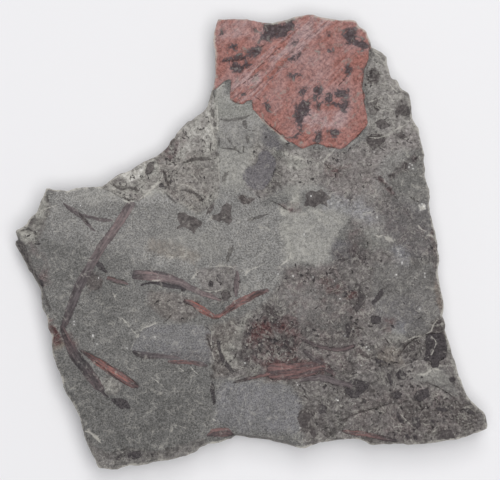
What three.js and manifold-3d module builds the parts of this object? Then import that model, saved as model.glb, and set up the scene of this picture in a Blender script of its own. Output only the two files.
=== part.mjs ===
// A fossil plate: one broken slab of grey siltstone that lies on its back, with flattened plant stems
// on its upper bedding plane. Its top corner has split to a slightly deeper, red, iron-stained plane.
// Millimetres, +Z up, +Y towards the red corner, origin at the middle of the underside's box.
import * as THREE from "three";
import { mergeVertices } from "three/addons/utils/BufferGeometryUtils.js";
import Module from "manifold-3d";

const wasm = await Module();
wasm.setup();

// Driving dimensions
const PLATE_WIDTH = 132.7; // between the left and right tips
const BED_HEIGHT = 12.4; // main bedding plane above the table
const FLAKE_RISE = 0.7; // thickness of a layer left standing on the bed
const STEM_RISE = 0.4; // how proud a flattened stem lies
const RIM_WIDTH = 2.6; // band along the edge that is rounded over
const RIM_DROP = 0.8;
const GRID_STEP = 2.7; // size of the facets on the bedding plane
const SMOOTH_GRAIN = 0.1; // unevenness of the bed where it split cleanly
const HACKLY_GRAIN = 0.42; // and where it broke in small splinters
const CROSS_SWELL = { rise: 0.3, reachX: 17, reachY: 21 }; // long low waves of the bed
const SLANT_SWELL = { rise: 0.22, reach: 13, slant: 1.4 };

// The outline and the marks on the stone are read off the photograph, in its pixels, x right and y down.
const LEFT_TIP = 13.5;
const RIGHT_TIP = 487.5;
const TOP_TIP = 14;
const BOTTOM_TIP = 469.7;
const MM_PER_PIXEL = PLATE_WIDTH / (RIGHT_TIP - LEFT_TIP);
const PLATE_DEPTH = (BOTTOM_TIP - TOP_TIP) * MM_PER_PIXEL;

const OUTLINE = [
  // top edge, along the red corner
  [218, 19], [232, 18.6], [247, 19], [262, 22], [272, 23], [284, 20], [296, 16], [308, 14], [320, 16.5],
  [334, 19.2], [350, 19.3], [355, 20], [359, 26], [366, 31], [370, 41],
  // right edge, going down
  [377, 49.5], [382, 52], [387, 56.5], [388, 66], [391, 77], [396.5, 79.5], [398.5, 82.5], [403, 90],
  [408, 92.5], [411, 102], [412, 117.5], [418.5, 128], [421, 141], [424.5, 155], [423.5, 161], [425, 175],
  [429, 190], [429, 203], [431.5, 218], [435.5, 232], [437.8, 244], [437.5, 250], [439.5, 260],
  [437.8, 273], [440.3, 287], [443.8, 302], [441.8, 316], [445.3, 325], [446.5, 335], [451.5, 349.5],
  [455.5, 362], [458.5, 376], [461, 380], [464.5, 390], [471, 400.5], [479, 408], [485.5, 415], [487.5, 425],
  // bottom edge, going left
  [487, 428.5], [478, 432.5], [465, 437], [450, 440.5], [432, 443], [416, 444], [408, 444.7], [388, 444.2],
  [369, 444], [361, 439.8], [347, 439.2], [328, 441.6], [316, 444], [305, 448.3], [295, 447], [283, 444],
  [268, 440.8], [253, 439], [242, 437], [231, 439], [220, 442], [208, 444], [200, 448.5], [193, 454],
  [182, 457], [168, 460.3], [153, 462.5], [138, 465.5], [129, 465.5], [117, 469.7], [99, 468], [95, 460],
  // left edge, going up
  [90, 450], [84, 436], [81.5, 424], [77.5, 412], [71, 401], [65, 391], [62, 380], [57.5, 369], [52, 352],
  [52, 338], [48, 327], [47.3, 318], [43, 310], [40.8, 299], [40, 289], [33.5, 277], [27.8, 270.5],
  [23, 260], [16.5, 249], [13.5, 244], [17.6, 239.3], [15.5, 232], [20, 229], [27, 223.5], [31, 217],
  [37, 212], [40.5, 201], [45, 191.5], [46, 188.3], [50, 188], [58, 190], [68, 191], [76, 188.2], [90, 187],
  // the broken corner, going up to the red
  [102, 187], [110, 180.5], [122, 172.8], [131, 170.5], [138, 164.5], [152, 157.8], [163, 150.5], [170, 142],
  [176, 133.5], [188, 120.7], [200, 114], [207.5, 106], [211, 92.5], [214.5, 82], [215.3, 62], [213.3, 40],
  [215.8, 26],
];

// Where stone is gone from above the bed: the lip is the upper edge of the step that is left, and
// beyond closes the shape outside the rim. The floor lies a step below the bed, and then falls by so
// many millimetres for each one away from the lip, down to the most that it drops.
const SCARS = {
  brokenCorner: {
    lip: [[101, 188], [111, 191.5], [122, 198], [134, 201.5], [143, 199], [150, 191.5], [160, 190.5],
      [166, 193], [178, 203], [187, 209], [197, 214], [205, 211], [212, 204], [218, 196], [221, 184],
      [220, 168], [218, 150], [217, 130], [216.5, 112], [215, 98], [213, 89]],
    beyond: [[196, 84], [150, 130], [94, 172]],
    step: 0.8, fall: 0.2, most: 3, grain: HACKLY_GRAIN,
  },
  redCorner: {
    lip: [[212, 88], [217, 89.5], [222, 82], [230, 79.5], [231.5, 86], [228.5, 94], [230, 100],
      [240, 104.5], [247, 102], [252, 98.5], [254, 108], [266, 120.5], [280, 132.5], [290, 141],
      [303, 149.5], [310, 146], [322, 145], [341, 149], [352, 142], [364, 130], [368, 118],
      [364.5, 104], [366, 92], [363, 80], [364, 68], [370, 60], [371, 46], [376, 30]],
    beyond: [[360, 4], [212, 8]],
    step: 0.9, fall: 0.02, most: 0.6, grain: SMOOTH_GRAIN,
  },
  rightShelf: {
    lip: [[367, 128], [366, 138], [378, 139], [388, 136], [395, 131], [403, 127], [408, 124], [420, 121]],
    beyond: [[420, 40], [368, 36], [366.5, 46], [366, 60], [360, 68], [359, 80], [362, 92], [360.5, 104],
      [364, 118]],
    step: 0.7, fall: 0.06, most: 2, grain: HACKLY_GRAIN,
  },
  bottomLeftRim: {
    lip: [[88, 440], [96, 447], [107, 451], [121, 450], [134, 448], [150, 450], [164, 448.5], [178, 444],
      [192, 441], [204, 437]],
    beyond: [[212, 456], [190, 470], [120, 480], [84, 470]],
    step: 0.7, fall: 0.35, most: 3.4, grain: HACKLY_GRAIN,
  },
  bottomChip: {
    lip: [[232, 433], [242, 434], [253, 435.5], [268, 436.8], [283, 440], [295, 444.5], [302, 452]],
    beyond: [[296, 462], [236, 456]],
    step: 0.3, fall: 4, most: 7.5, grain: HACKLY_GRAIN,
  },
  darkLeftWall: {
    lip: [[17, 236], [21, 241], [25, 247], [30, 257], [33, 268], [37, 276], [42, 285], [46, 298]],
    beyond: [[36, 306], [14, 262], [6, 240]],
    step: 0.4, fall: 4.5, most: 9, grain: HACKLY_GRAIN,
  },
};

// Where the bed broke in small splinters, and the clean brown bed that this surrounds on its left.
const HACKLY_GROUND = [
  [256, 126], [290, 146], [345, 150], [366, 138], [420, 118], [437, 238], [446, 335], [487, 425],
  [470, 440], [369, 446], [305, 448], [302, 404], [290, 384], [240, 379], [224, 368], [224, 350],
  [240, 322], [262, 306], [280, 284], [286, 268], [330, 266], [350, 240], [352, 208], [318, 184],
  [284, 186], [262, 200], [246, 186],
];
const BROWN_BED = [
  [372, 212], [388, 200], [408, 204], [428, 200], [442, 214], [444, 256], [424, 262], [400, 254], [382, 240],
];

// A thin layer left standing on the bed: it ends in a step on its right and under the white scar above.
const STANDING_FLAKE = [
  [131, 350], [133, 344], [139, 333], [146, 326], [158, 322], [172, 323], [186, 321], [200, 323], [209, 327],
  [212, 332], [208, 340], [210, 349], [213, 356], [215, 363], [207, 366], [190, 362], [168, 359], [150, 358],
  [138, 354],
];
const PALE_HUMP = [
  [283, 214], [291, 211], [300, 203], [318, 208], [334, 206], [349, 212], [347, 221], [338, 231], [334, 240],
  [331, 250], [333, 258], [325, 263], [309, 265], [296, 262], [290, 254], [290, 243], [282, 233], [280, 224],
];
const LOWER_BED = [
  [216, 384], [232, 378], [246, 380], [262, 381], [280, 382], [294, 388], [301, 398], [303, 412], [298, 424],
  [292, 434], [280, 436], [262, 432], [246, 431], [232, 427], [218, 424], [212, 412], [211, 398],
];

// Flattened stems: the centreline, and the full width at each of its points.
const STEMS = {
  forkedStem: {
    line: [[131, 203], [120, 219], [108, 237], [97, 253], [88, 270], [81, 287], [73, 304], [67, 320],
      [65.5, 330], [69, 342], [77, 354], [88, 369], [98, 382], [104, 389]],
    width: [8, 9, 9.5, 9.5, 10, 10.5, 9, 8, 6, 8, 10, 12, 12, 4],
  },
  redSpindle: {
    line: [[80, 350], [90, 356], [102, 364], [114, 372], [126, 379.5], [137, 386.5]],
    width: [2, 5, 7, 9, 8, 4],
  },
  broadStem: {
    line: [[134, 276], [148, 275], [162, 277], [176, 280], [188, 284], [200, 290], [212, 295], [221, 298]],
    width: [7, 9, 9, 9, 7, 6, 6, 2],
  },
  bentStem: {
    line: [[184, 299], [193, 304], [202, 309], [211, 315], [222, 315], [230, 309], [239, 301], [249, 296],
      [259, 292], [267, 290]],
    width: [4, 5.5, 6, 5, 4.5, 6, 6, 7, 6.5, 3],
  },
  ribbedStem: {
    line: [[238, 380], [252, 376.5], [266, 373], [280, 371], [296, 370], [310, 368], [320, 364]],
    width: [2, 5, 11, 15, 15, 11, 4],
  },
  darkStem: {
    line: [[300, 380], [318, 376], [334, 379.5], [350, 384]],
    width: [3, 6, 7, 6],
  },
};

// Broken side, from the table up: height, and how far the side stands in from the outline.
const SIDE_STEPS = [
  { height: 0, inset: 1.7, wander: 0.5 },
  { height: 1.4, inset: 0.7, wander: 0.5 },
  { height: 3.6, inset: 0.45, wander: 0.4 },
  { height: 4.2, inset: 0.05, wander: 0.05 },
  { height: 7.4, inset: 0, wander: 0 },
  { height: 8.1, inset: 0.45, wander: 0.4 },
  { height: 20, inset: 0.6, wander: 0.4 },
];
const SMOOTHING_REACH = 3; // outline points on each side that steer which way is inwards
const BELOW_TABLE = -5; // the shapes that are joined and cut reach from here to over the plate
const OVER_PLATE = 30;
const WELD = 1e-4; // vertices closer than this are one

const toPlate = ([px, py]) =>
  new THREE.Vector2(
    (px - (LEFT_TIP + RIGHT_TIP) / 2) * MM_PER_PIXEL,
    ((TOP_TIP + BOTTOM_TIP) / 2 - py) * MM_PER_PIXEL,
  );

const rim = OUTLINE.map(toPlate).reverse(); // anticlockwise seen from above

function distanceToSegment(x, y, a, b) {
  const [dx, dy] = [b.x - a.x, b.y - a.y];
  const along = THREE.MathUtils.clamp(((x - a.x) * dx + (y - a.y) * dy) / (dx * dx + dy * dy), 0, 1);
  return Math.hypot(x - a.x - along * dx, y - a.y - along * dy);
}

function distanceToLine(x, y, points, closed) {
  let nearest = Infinity;
  const last = closed ? points.length : points.length - 1;
  for (let i = 0; i < last; i++) {
    nearest = Math.min(nearest, distanceToSegment(x, y, points[i], points[(i + 1) % points.length]));
  }
  return nearest;
}

// A fixed pseudo-random number from -1 to 1 for each place.
function scatter(x, y) {
  const mixed = Math.sin(x * 12.9898 + y * 78.233) * 43758.5453;
  return 2 * (mixed - Math.floor(mixed)) - 1;
}

function isInside(x, y, points) {
  let inside = false;
  points.forEach((a, i) => {
    const b = points[(i + 1) % points.length];
    if (a.y > y !== b.y > y && x < a.x + ((b.x - a.x) * (y - a.y)) / (b.y - a.y)) inside = !inside;
  });
  return inside;
}

// The bedding plane: long low swells, a grain of small facets, and a rounded rim.
const hacklyGround = HACKLY_GROUND.map(toPlate);
const brownBed = BROWN_BED.map(toPlate);
function bedHeight(x, y) {
  const crossing = Math.sin(x / CROSS_SWELL.reachX + 0.6) * Math.cos(y / CROSS_SWELL.reachY - 0.4);
  const slanting = Math.sin((x - SLANT_SWELL.slant * y) / SLANT_SWELL.reach);
  const isHackly = isInside(x, y, hacklyGround) && !isInside(x, y, brownBed);
  const grain = isHackly ? HACKLY_GRAIN : SMOOTH_GRAIN;
  const nearRim = 1 - THREE.MathUtils.smoothstep(distanceToLine(x, y, rim, true), 0, RIM_WIDTH);
  const swell = CROSS_SWELL.rise * crossing + SLANT_SWELL.rise * slanting;
  return BED_HEIGHT + swell + grain * scatter(x, y) - RIM_DROP * nearRim;
}

// What a scar took away: everything over its floor.
function lostFrom({ lip, beyond, step, fall, most, grain }) {
  const edge = lip.map(toPlate);
  const floorAt = (x, y) => {
    const drop = Math.min(most, fall * distanceToLine(x, y, edge, false));
    return BED_HEIGHT - step - drop + grain * scatter(y, x);
  };
  return prism([...lip, ...beyond].map(toPlate)).subtract(under(floorAt));
}

function toSolid(geometry) {
  const bare = geometry.index ? geometry.toNonIndexed() : geometry;
  const places = new THREE.BufferGeometry().setAttribute("position", bare.getAttribute("position"));
  const merged = mergeVertices(places, WELD);
  const mesh = new wasm.Mesh({
    numProp: 3,
    vertProperties: new Float32Array(merged.attributes.position.array),
    triVerts: new Uint32Array(merged.index.array),
  });
  return new wasm.Manifold(mesh);
}

// Everything under a height field, over the whole plate.
function under(heightAt) {
  const width = PLATE_WIDTH + 2 * GRID_STEP;
  const depth = PLATE_DEPTH + 2 * GRID_STEP;
  const block = new THREE.BoxGeometry(
    width, depth, 2, Math.round(width / GRID_STEP), Math.round(depth / GRID_STEP), 1,
  );
  const places = block.attributes.position;
  for (let i = 0; i < places.count; i++) {
    const isTop = places.getZ(i) > 0;
    places.setZ(i, isTop ? heightAt(places.getX(i), places.getY(i)) : BELOW_TABLE);
  }
  return toSolid(block);
}

// An upright prism over an outline, through the whole thickness of the plate.
function prism(points) {
  const depth = OVER_PLATE - 2 * BELOW_TABLE;
  const geometry = new THREE.ExtrudeGeometry(new THREE.Shape(points), { depth, bevelEnabled: false });
  return toSolid(geometry.translate(0, 0, 2 * BELOW_TABLE));
}

// The points around a stem: down one side and back along the other.
function stemOutline({ line, width }) {
  const middle = line.map(toPlate);
  const sides = [1, -1].map((side) =>
    middle.map((point, i) => {
      const before = middle[Math.max(0, i - 1)];
      const after = middle[Math.min(middle.length - 1, i + 1)];
      const along = after.clone().sub(before).normalize();
      const half = (side * width[i] * MM_PER_PIXEL) / 2;
      return new THREE.Vector2(point.x - along.y * half, point.y + along.x * half);
    }),
  );
  return [...sides[0], ...sides[1].reverse()];
}

// The slab's broken sides: rings of the outline at each height, drawn in by that height's inset.
function slab() {
  const count = rim.length;
  const at = (i) => rim[(i + count) % count];
  const inwards = rim.map((_, i) => {
    const along = at(i + SMOOTHING_REACH).clone().sub(at(i - SMOOTHING_REACH)).normalize();
    return new THREE.Vector2(-along.y, along.x);
  });
  const rings = SIDE_STEPS.map(({ height, inset, wander }) =>
    rim.map((point, i) => {
      const pair = Math.floor(i / 2); // neighbours share a ledge
      const depth = inset + wander * scatter(pair, height);
      return new THREE.Vector3(point.x + inwards[i].x * depth, point.y + inwards[i].y * depth, height);
    }),
  );
  const corners = [];
  rings.slice(1).forEach((upper, level) => {
    const lower = rings[level];
    for (let i = 0; i < count; i++) {
      const next = (i + 1) % count;
      corners.push(lower[i], lower[next], upper[next], lower[i], upper[next], upper[i]);
    }
  });
  const [foot, top] = [rings[0], rings.at(-1)];
  const facesOf = (ring) => THREE.ShapeUtils.triangulateShape(ring, []);
  for (const [a, b, c] of facesOf(foot)) corners.push(foot[c], foot[b], foot[a]);
  for (const [a, b, c] of facesOf(top)) corners.push(top[a], top[b], top[c]);
  return toSolid(new THREE.BufferGeometry().setFromPoints(corners));
}

function plateSolid() {
  const raised = (points, rise) => prism(points).intersect(under((x, y) => bedHeight(x, y) + rise));
  let stone = under(bedHeight)
    .add(raised(STANDING_FLAKE.map(toPlate), FLAKE_RISE))
    .add(raised(PALE_HUMP.map(toPlate), FLAKE_RISE))
    .add(raised(LOWER_BED.map(toPlate), FLAKE_RISE / 2));
  for (const stem of Object.values(STEMS)) stone = stone.add(raised(stemOutline(stem), STEM_RISE));
  for (const scar of Object.values(SCARS)) stone = stone.subtract(lostFrom(scar));
  return stone.intersect(slab());
}

function toGeometry(solid) {
  const { numProp, numVert, vertProperties, triVerts } = solid.getMesh();
  const places = new Float32Array(numVert * 3);
  for (let i = 0; i < numVert; i++) {
    places.set(vertProperties.subarray(i * numProp, i * numProp + 3), i * 3);
  }
  const geometry = new THREE.BufferGeometry();
  geometry.setAttribute("position", new THREE.BufferAttribute(places, 3));
  geometry.setIndex(new THREE.BufferAttribute(new Uint32Array(triVerts), 1));
  geometry.computeVertexNormals();
  return geometry;
}

const siltstone = new THREE.MeshStandardMaterial({ color: 0x77756f, roughness: 0.9, metalness: 0 });

const plate = new THREE.Group();
const stone = new THREE.Mesh(toGeometry(plateSolid()), siltstone);
stone.name = "fossil_plate";
plate.add(stone);

export default plate;
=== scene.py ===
"""A fossil plate on a pale table: a broken slab of grey siltstone with flattened plant stems on it.

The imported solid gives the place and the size. One finer mesh of the same stone replaces it, with its
ledges, splinters, stems and cracks as real relief, and loose crumbs of stone and scraps of plant lie on
its splintery ground. One procedural material colours them all by what each place on the stone is: split
bed, splintery ground, red stained plane, stem or flake.
"""
import math

import bpy
import numpy as np
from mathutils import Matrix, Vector
from mathutils.geometry import delaunay_2d_cdt


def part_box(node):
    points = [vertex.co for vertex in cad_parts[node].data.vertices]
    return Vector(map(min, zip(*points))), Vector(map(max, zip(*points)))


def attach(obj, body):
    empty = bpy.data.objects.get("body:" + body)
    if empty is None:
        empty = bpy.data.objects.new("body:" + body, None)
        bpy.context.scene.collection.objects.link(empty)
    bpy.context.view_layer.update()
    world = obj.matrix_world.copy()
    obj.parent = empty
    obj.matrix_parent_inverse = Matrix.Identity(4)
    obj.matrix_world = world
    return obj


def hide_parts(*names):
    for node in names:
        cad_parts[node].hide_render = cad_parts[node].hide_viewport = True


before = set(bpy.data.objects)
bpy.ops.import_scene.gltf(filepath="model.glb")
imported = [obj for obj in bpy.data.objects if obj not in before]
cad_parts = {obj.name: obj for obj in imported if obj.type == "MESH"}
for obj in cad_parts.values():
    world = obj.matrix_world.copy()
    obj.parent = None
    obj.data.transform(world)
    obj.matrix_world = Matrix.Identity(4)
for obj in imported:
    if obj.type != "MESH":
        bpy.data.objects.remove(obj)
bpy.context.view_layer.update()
NODE = "fossil_plate"
low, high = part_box(NODE)

# Driving dimensions, in millimetres
MM = 0.001
METRE = 1 / MM
PLATE_WIDTH = 132.7  # between the left and right tips
BED_HEIGHT = 12.4  # main bedding plane above the table
STEM_RISE = 0.12  # how proud a flattened stem lies
FLAKE_RISE = 0.1  # and a dark flake
RIM_DROP = 0.15  # how far the worn rim is rounded down
RIM_WIDTH = 0.5
CHIP_DEPTH = 1.3  # the most that a chip has taken off the rim
CHIP_REACH = 2.2
SMOOTH_GRAIN = 0.05  # unevenness of the bed where it split cleanly
HACKLY_GRAIN = 0.28  # and where it broke in small splinters
CRACK_DEPTH = 0.3
VEIN_DEPTH = 0.1
SHARP_ANGLE = 38.0  # between two faces, in degrees: from here on their edge is sharp
SEED = 7

# Each unevenness of the stone: the size of its largest bumps or facets in millimetres, and its own seed
NOISE = {
    "small teeth": (1.3, SEED), "large teeth": (4.0, SEED + 5), "stray x": (1.6, 11), "stray y": (1.6, 12),
    "large splinters": (3.4, 21), "small splinters": (1.5, 31), "bed": (9.0, 41), "ledges": (5.0, 131),
    "chips": (4.5, 61), "chipped stretches": (12.0, 62), "crumb patches": (6.0, 141), "worn rim": (5.0, 151),
    "bent layers": (14.0, 71), "broken layers": (9.0, 81), "side splinters": (1.6, 91), "foot": (7.0, 101),
    "lost layers": (26.0, 111), "underside": (5.0, 121),
}

# The outline and the marks on the stone are read off the photograph, in its pixels, x right and y down.
LEFT_TIP, RIGHT_TIP = 13.5, 487.5
TOP_TIP, BOTTOM_TIP = 14, 469.7
MIDDLE = np.array([(LEFT_TIP + RIGHT_TIP) / 2, (TOP_TIP + BOTTOM_TIP) / 2])
MM_PER_PIXEL = PLATE_WIDTH / (RIGHT_TIP - LEFT_TIP)
PHOTO_SIZE = (500, 480)

OUTLINE = [
    # top edge, along the red corner
    (218, 19), (230, 18.5), (247, 19), (255, 20.5), (262, 22), (272, 23), (283, 20.5), (290, 18), (296, 16),
    (303, 15.3), (308, 14), (313, 14.5), (320, 16.5), (327, 17.8), (334, 19.2), (342, 19.8), (350, 19.3),
    (355, 20), (357, 22.5), (359, 26), (363, 28.5), (366, 31), (368, 36), (370, 40), (371, 43),
    # right edge, going down
    (372, 46.5), (377, 49.5), (382, 52), (387, 56.5), (387, 62), (388, 66), (389.5, 73), (391, 77),
    (393, 79), (396.5, 79.5), (398.5, 82.5), (400, 86.5), (403, 90), (408, 92.5), (410, 96), (411, 102),
    (412, 110), (412, 117.5), (413.5, 121), (416, 125), (418.5, 128), (419.5, 135), (421, 141), (423, 148),
    (424.5, 155), (423.5, 161), (425, 168), (424.8, 175), (426.5, 183), (429, 190), (430, 197), (429, 203),
    (429.5, 210), (431.5, 218), (433.5, 226), (435.5, 232), (436.5, 238), (437.8, 244), (437.5, 250),
    (439.3, 256), (439.5, 261), (438.2, 266), (437.8, 273), (439, 281), (440.3, 287), (442, 295),
    (443.8, 302), (444, 307), (443, 312), (441.8, 316), (443.8, 320), (445.3, 325), (444.8, 330),
    (446.5, 335), (449, 343), (451.5, 349.5), (453, 356), (455.5, 362), (457, 369), (458.5, 376),
    (461, 380), (462.5, 385), (464.5, 390), (467.5, 396), (471, 400.5), (475, 404.5), (479, 408),
    (483, 411.5), (485.5, 415), (486.8, 420), (487.5, 425), (487, 428.5),
    # bottom edge, going left
    (483.5, 430.5), (478, 432.5), (472, 434.5), (465, 437), (457, 439.5), (450, 440.5), (441, 441.3),
    (432, 443), (424, 443.5), (416, 444), (408, 444.7), (403, 443.6), (396, 443.8), (388, 444.2),
    (380, 444.5), (374, 445), (369, 444), (365, 441.8), (361, 439.8), (354, 439), (347, 439.2),
    (340, 439.8), (334, 440.8), (328, 441.6), (320, 442.3), (316, 444), (310, 446), (305, 448.3),
    (300, 448), (290, 446.5), (280, 443.5), (270, 441), (260, 439.5), (250, 439), (240, 436.5),
    (236, 436.5), (231, 439), (226, 440), (220, 442), (214, 443.5), (208, 444), (204, 446), (200, 448),
    (196, 452), (190, 454.5), (182, 457), (175, 458.5), (168, 460.3), (160, 461), (153, 462.5),
    (146, 464.5), (138, 465.5), (129, 465.5), (122, 467.5), (117, 469.5), (111, 469.7), (105, 468.5),
    (99, 468),
    # left edge, going up
    (97, 465), (95, 460), (92.5, 455), (90, 450), (87, 443), (84, 436), (83, 431), (81.5, 424), (80, 417.5),
    (77.5, 412), (74, 406), (71, 401), (66.5, 395), (65, 391), (63, 386), (62, 380), (60, 374.5),
    (57.5, 369), (55.5, 363), (53.5, 357.5), (52, 352), (51.8, 345), (52, 338), (51.3, 335.5),
    (49.5, 331.5), (48, 327), (47.8, 321.5), (47.3, 318), (45.5, 314), (43, 310), (41.5, 305),
    (40.8, 299), (41, 293), (40, 289), (38.5, 286), (36, 281.5), (33.5, 277), (31.5, 273), (27.8, 270.5),
    (26, 266), (23, 260), (19.5, 254), (16.5, 249), (13.8, 244.5), (14.5, 241.5), (17.5, 239.5),
    (16.2, 236), (15.5, 232), (16.5, 230), (20, 229), (24, 226.5), (27, 223.5), (28, 220.5), (31, 217),
    (34, 214.8), (37, 212), (38.5, 209), (39.5, 205), (40.5, 201), (43, 197), (45, 191.5), (46, 188.3),
    (50, 188), (53, 189.5), (58, 190), (64, 190.3), (68, 191), (72, 189.5), (76, 188.2), (84, 187.5),
    (90, 187), (102, 187),
    # the broken corner, going up to the red
    (106, 183.8), (110, 180.5), (114, 177.8), (118, 174.8), (122, 172.8), (127, 172), (131, 170),
    (134, 167), (138, 164.5), (143, 162), (148, 160), (152, 157.8), (157, 155.5), (160, 153),
    (163, 150.5), (166, 147.5), (169, 144.3), (170, 141), (172, 138.5), (174.5, 137), (176, 133.5),
    (179, 130.5), (182, 127), (185, 124), (188, 120.7), (191, 120), (194, 118), (197, 115.5), (200, 114),
    (203.5, 111), (206, 108.5), (207.5, 106), (208.5, 101), (209.8, 97), (211, 92.5), (213, 88),
    (214.3, 85), (214.8, 78), (215.3, 70), (215.3, 60), (215, 52), (214, 46), (213.3, 40), (214.3, 30.5),
    (215.8, 26), (217, 22),
]

# Where stone is gone from above the bed: the lip is the upper edge of the step that is left, and beyond
# closes the shape outside the rim. The floor lies a step below the bed, and falls from there by so many
# millimetres for each one away from the lip, down to the most that it drops.
SCARS = {
    "broken corner": dict(
        lip=[(101, 188), (106, 190), (111, 191.5), (117, 195), (122, 198), (128, 200.5), (134, 201.5),
             (139, 201), (143, 199), (146, 195), (150, 191.5), (155, 190), (160, 190.5), (166, 193),
             (171, 198), (178, 203), (183, 206), (187, 209), (192, 212), (197, 214), (202, 212), (205, 211),
             (212, 204), (218, 196), (221, 184), (220, 168), (219, 158), (218, 150), (217, 130),
             (216.5, 112), (215, 98), (213, 89)],
        beyond=[(196, 84), (150, 130), (94, 172)],
        step=0.08, fall=0.22, most=3.0, hackly=1.0),
    "red corner": dict(
        lip=[(212, 90), (215, 89), (219, 86), (224, 81), (228, 79), (231, 80), (231, 86), (230, 93),
             (230, 99), (233, 102), (238, 104), (243, 104), (247, 101), (252, 100), (253, 109), (257, 114),
             (263, 121), (270, 127), (277, 133), (284, 138), (290, 142), (296, 145), (303, 149), (309, 146),
             (314, 144), (320, 144), (327, 147), (340, 149), (345, 147), (352, 141), (357, 137), (362, 131),
             (366, 127), (368, 123), (367, 117), (366, 110), (364, 102), (365, 95), (362, 89), (363, 82),
             (364, 76), (364, 69), (367, 64), (369, 58), (369, 50), (373, 46)],
        beyond=[(376, 30), (360, 4), (205, 4), (205, 90)],
        step=0.6, fall=0.03, most=0.6, hackly=0.12),
    "right shelf": dict(
        lip=[(367, 128), (366, 138), (372, 138), (378, 139), (383, 137), (388, 136), (391, 133), (395, 131),
             (399, 128), (403, 127), (408, 124), (420, 121)],
        beyond=[(420, 40), (370, 44), (369.5, 50), (369.5, 58), (364.5, 69), (363.5, 82), (365.5, 95),
                (366.5, 110), (368.5, 123)],
        step=0.3, fall=0.08, most=2.0, hackly=0.9),
    "bottom left rim": dict(
        lip=[(88, 436), (92, 442), (96, 447), (101, 448), (107, 451), (114, 452), (121, 450), (127, 448),
             (134, 448), (142, 450), (150, 450), (157, 450), (164, 448.5), (171, 447), (178, 444),
             (185, 443), (192, 441), (204, 437)],
        beyond=[(212, 456), (190, 470), (120, 480), (84, 470)],
        step=0.02, fall=0.06, most=0.5, hackly=0.6),
    "bottom chip": dict(
        lip=[(232, 433), (242, 434), (248, 435), (253, 435.5), (260, 436), (268, 436.8), (275, 439),
             (283, 440), (289, 442), (295, 444.5), (302, 452)],
        beyond=[(296, 462), (236, 456)],
        step=0.3, fall=4.0, most=7.5, hackly=0.8),
    "dark left wall": dict(
        lip=[(17, 236), (21, 241), (25, 247), (28, 252), (30, 257), (32, 263), (33, 268), (37, 276),
             (42, 285), (46, 298)],
        beyond=[(36, 306), (14, 262), (6, 240)],
        step=0.4, fall=1.8, most=4.0, hackly=0.8),
}

# Thin layers left standing on the bed, each with its thickness in millimetres
STANDING_LAYERS = {
    "left flake": dict(rise=0.22, outline=[
        (131, 350), (133, 344), (139, 333), (146, 326), (158, 322), (172, 323), (186, 321), (200, 323),
        (209, 327), (212, 332), (208, 340), (210, 349), (213, 356), (215, 363), (207, 366), (190, 362),
        (168, 359), (150, 358), (138, 354)]),
    "pale hump": dict(rise=0.12, outline=[
        (283, 214), (291, 211), (300, 203), (318, 208), (334, 206), (349, 212), (347, 221), (338, 231),
        (334, 240), (331, 250), (333, 258), (325, 263), (309, 265), (296, 262), (290, 254), (290, 243),
        (282, 233), (280, 224)]),
    "lower bed": dict(rise=0.06, outline=[
        (216, 384), (232, 378), (246, 380), (262, 381), (280, 382), (294, 388), (301, 398), (303, 412),
        (298, 424), (292, 434), (280, 436), (262, 432), (246, 431), (232, 427), (218, 424), (212, 412),
        (211, 398)]),
}

# Ground that broke in small splinters, littered with scraps of plant, and the clean beds within it
HACKLY_GROUND = [
    (256, 126), (290, 146), (345, 150), (366, 138), (420, 118), (440, 238), (452, 335), (492, 425),
    (470, 446), (369, 450), (305, 452), (302, 404), (290, 384), (240, 379), (214, 378), (210, 350),
    (212, 328), (236, 318), (262, 306), (280, 284), (286, 268), (330, 266), (350, 240), (352, 208),
    (318, 184), (284, 186), (262, 200), (246, 186),
]
ROUGH_PATCHES = [
    [(148, 292), (170, 292), (200, 300), (202, 312), (184, 322), (164, 318), (148, 304)],
    [(196, 270), (236, 266), (240, 290), (224, 302), (204, 292)],
    [(16, 231), (24, 227), (30, 226), (38, 212), (46, 196), (50, 206), (44, 224), (38, 242), (26, 244)],
    [(102, 384), (106, 377), (116, 377), (122, 386), (116, 394), (106, 393)],
]
CLEAN_BEDS = [
    [(282, 292), (296, 284), (318, 288), (340, 296), (352, 310), (350, 330), (336, 338), (316, 332),
     (300, 326), (286, 316), (280, 306)],
    [(356, 198), (374, 180), (384, 158), (402, 150), (420, 152), (432, 200), (444, 216), (444, 256),
     (424, 262), (400, 254), (380, 248), (352, 262), (336, 256), (342, 232), (354, 220)],
    [(259, 130), (266, 126), (276, 134), (284, 144), (278, 150), (268, 149), (261, 142)],
    [(376, 264), (400, 262), (438, 262), (443, 300), (441, 316), (432, 330), (412, 337), (396, 336),
     (384, 328), (376, 310), (372, 290)],
    [(414, 377), (424, 373), (436, 368), (444, 370), (452, 384), (458, 396), (446, 392), (430, 384),
     (416, 382)],
]

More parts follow.
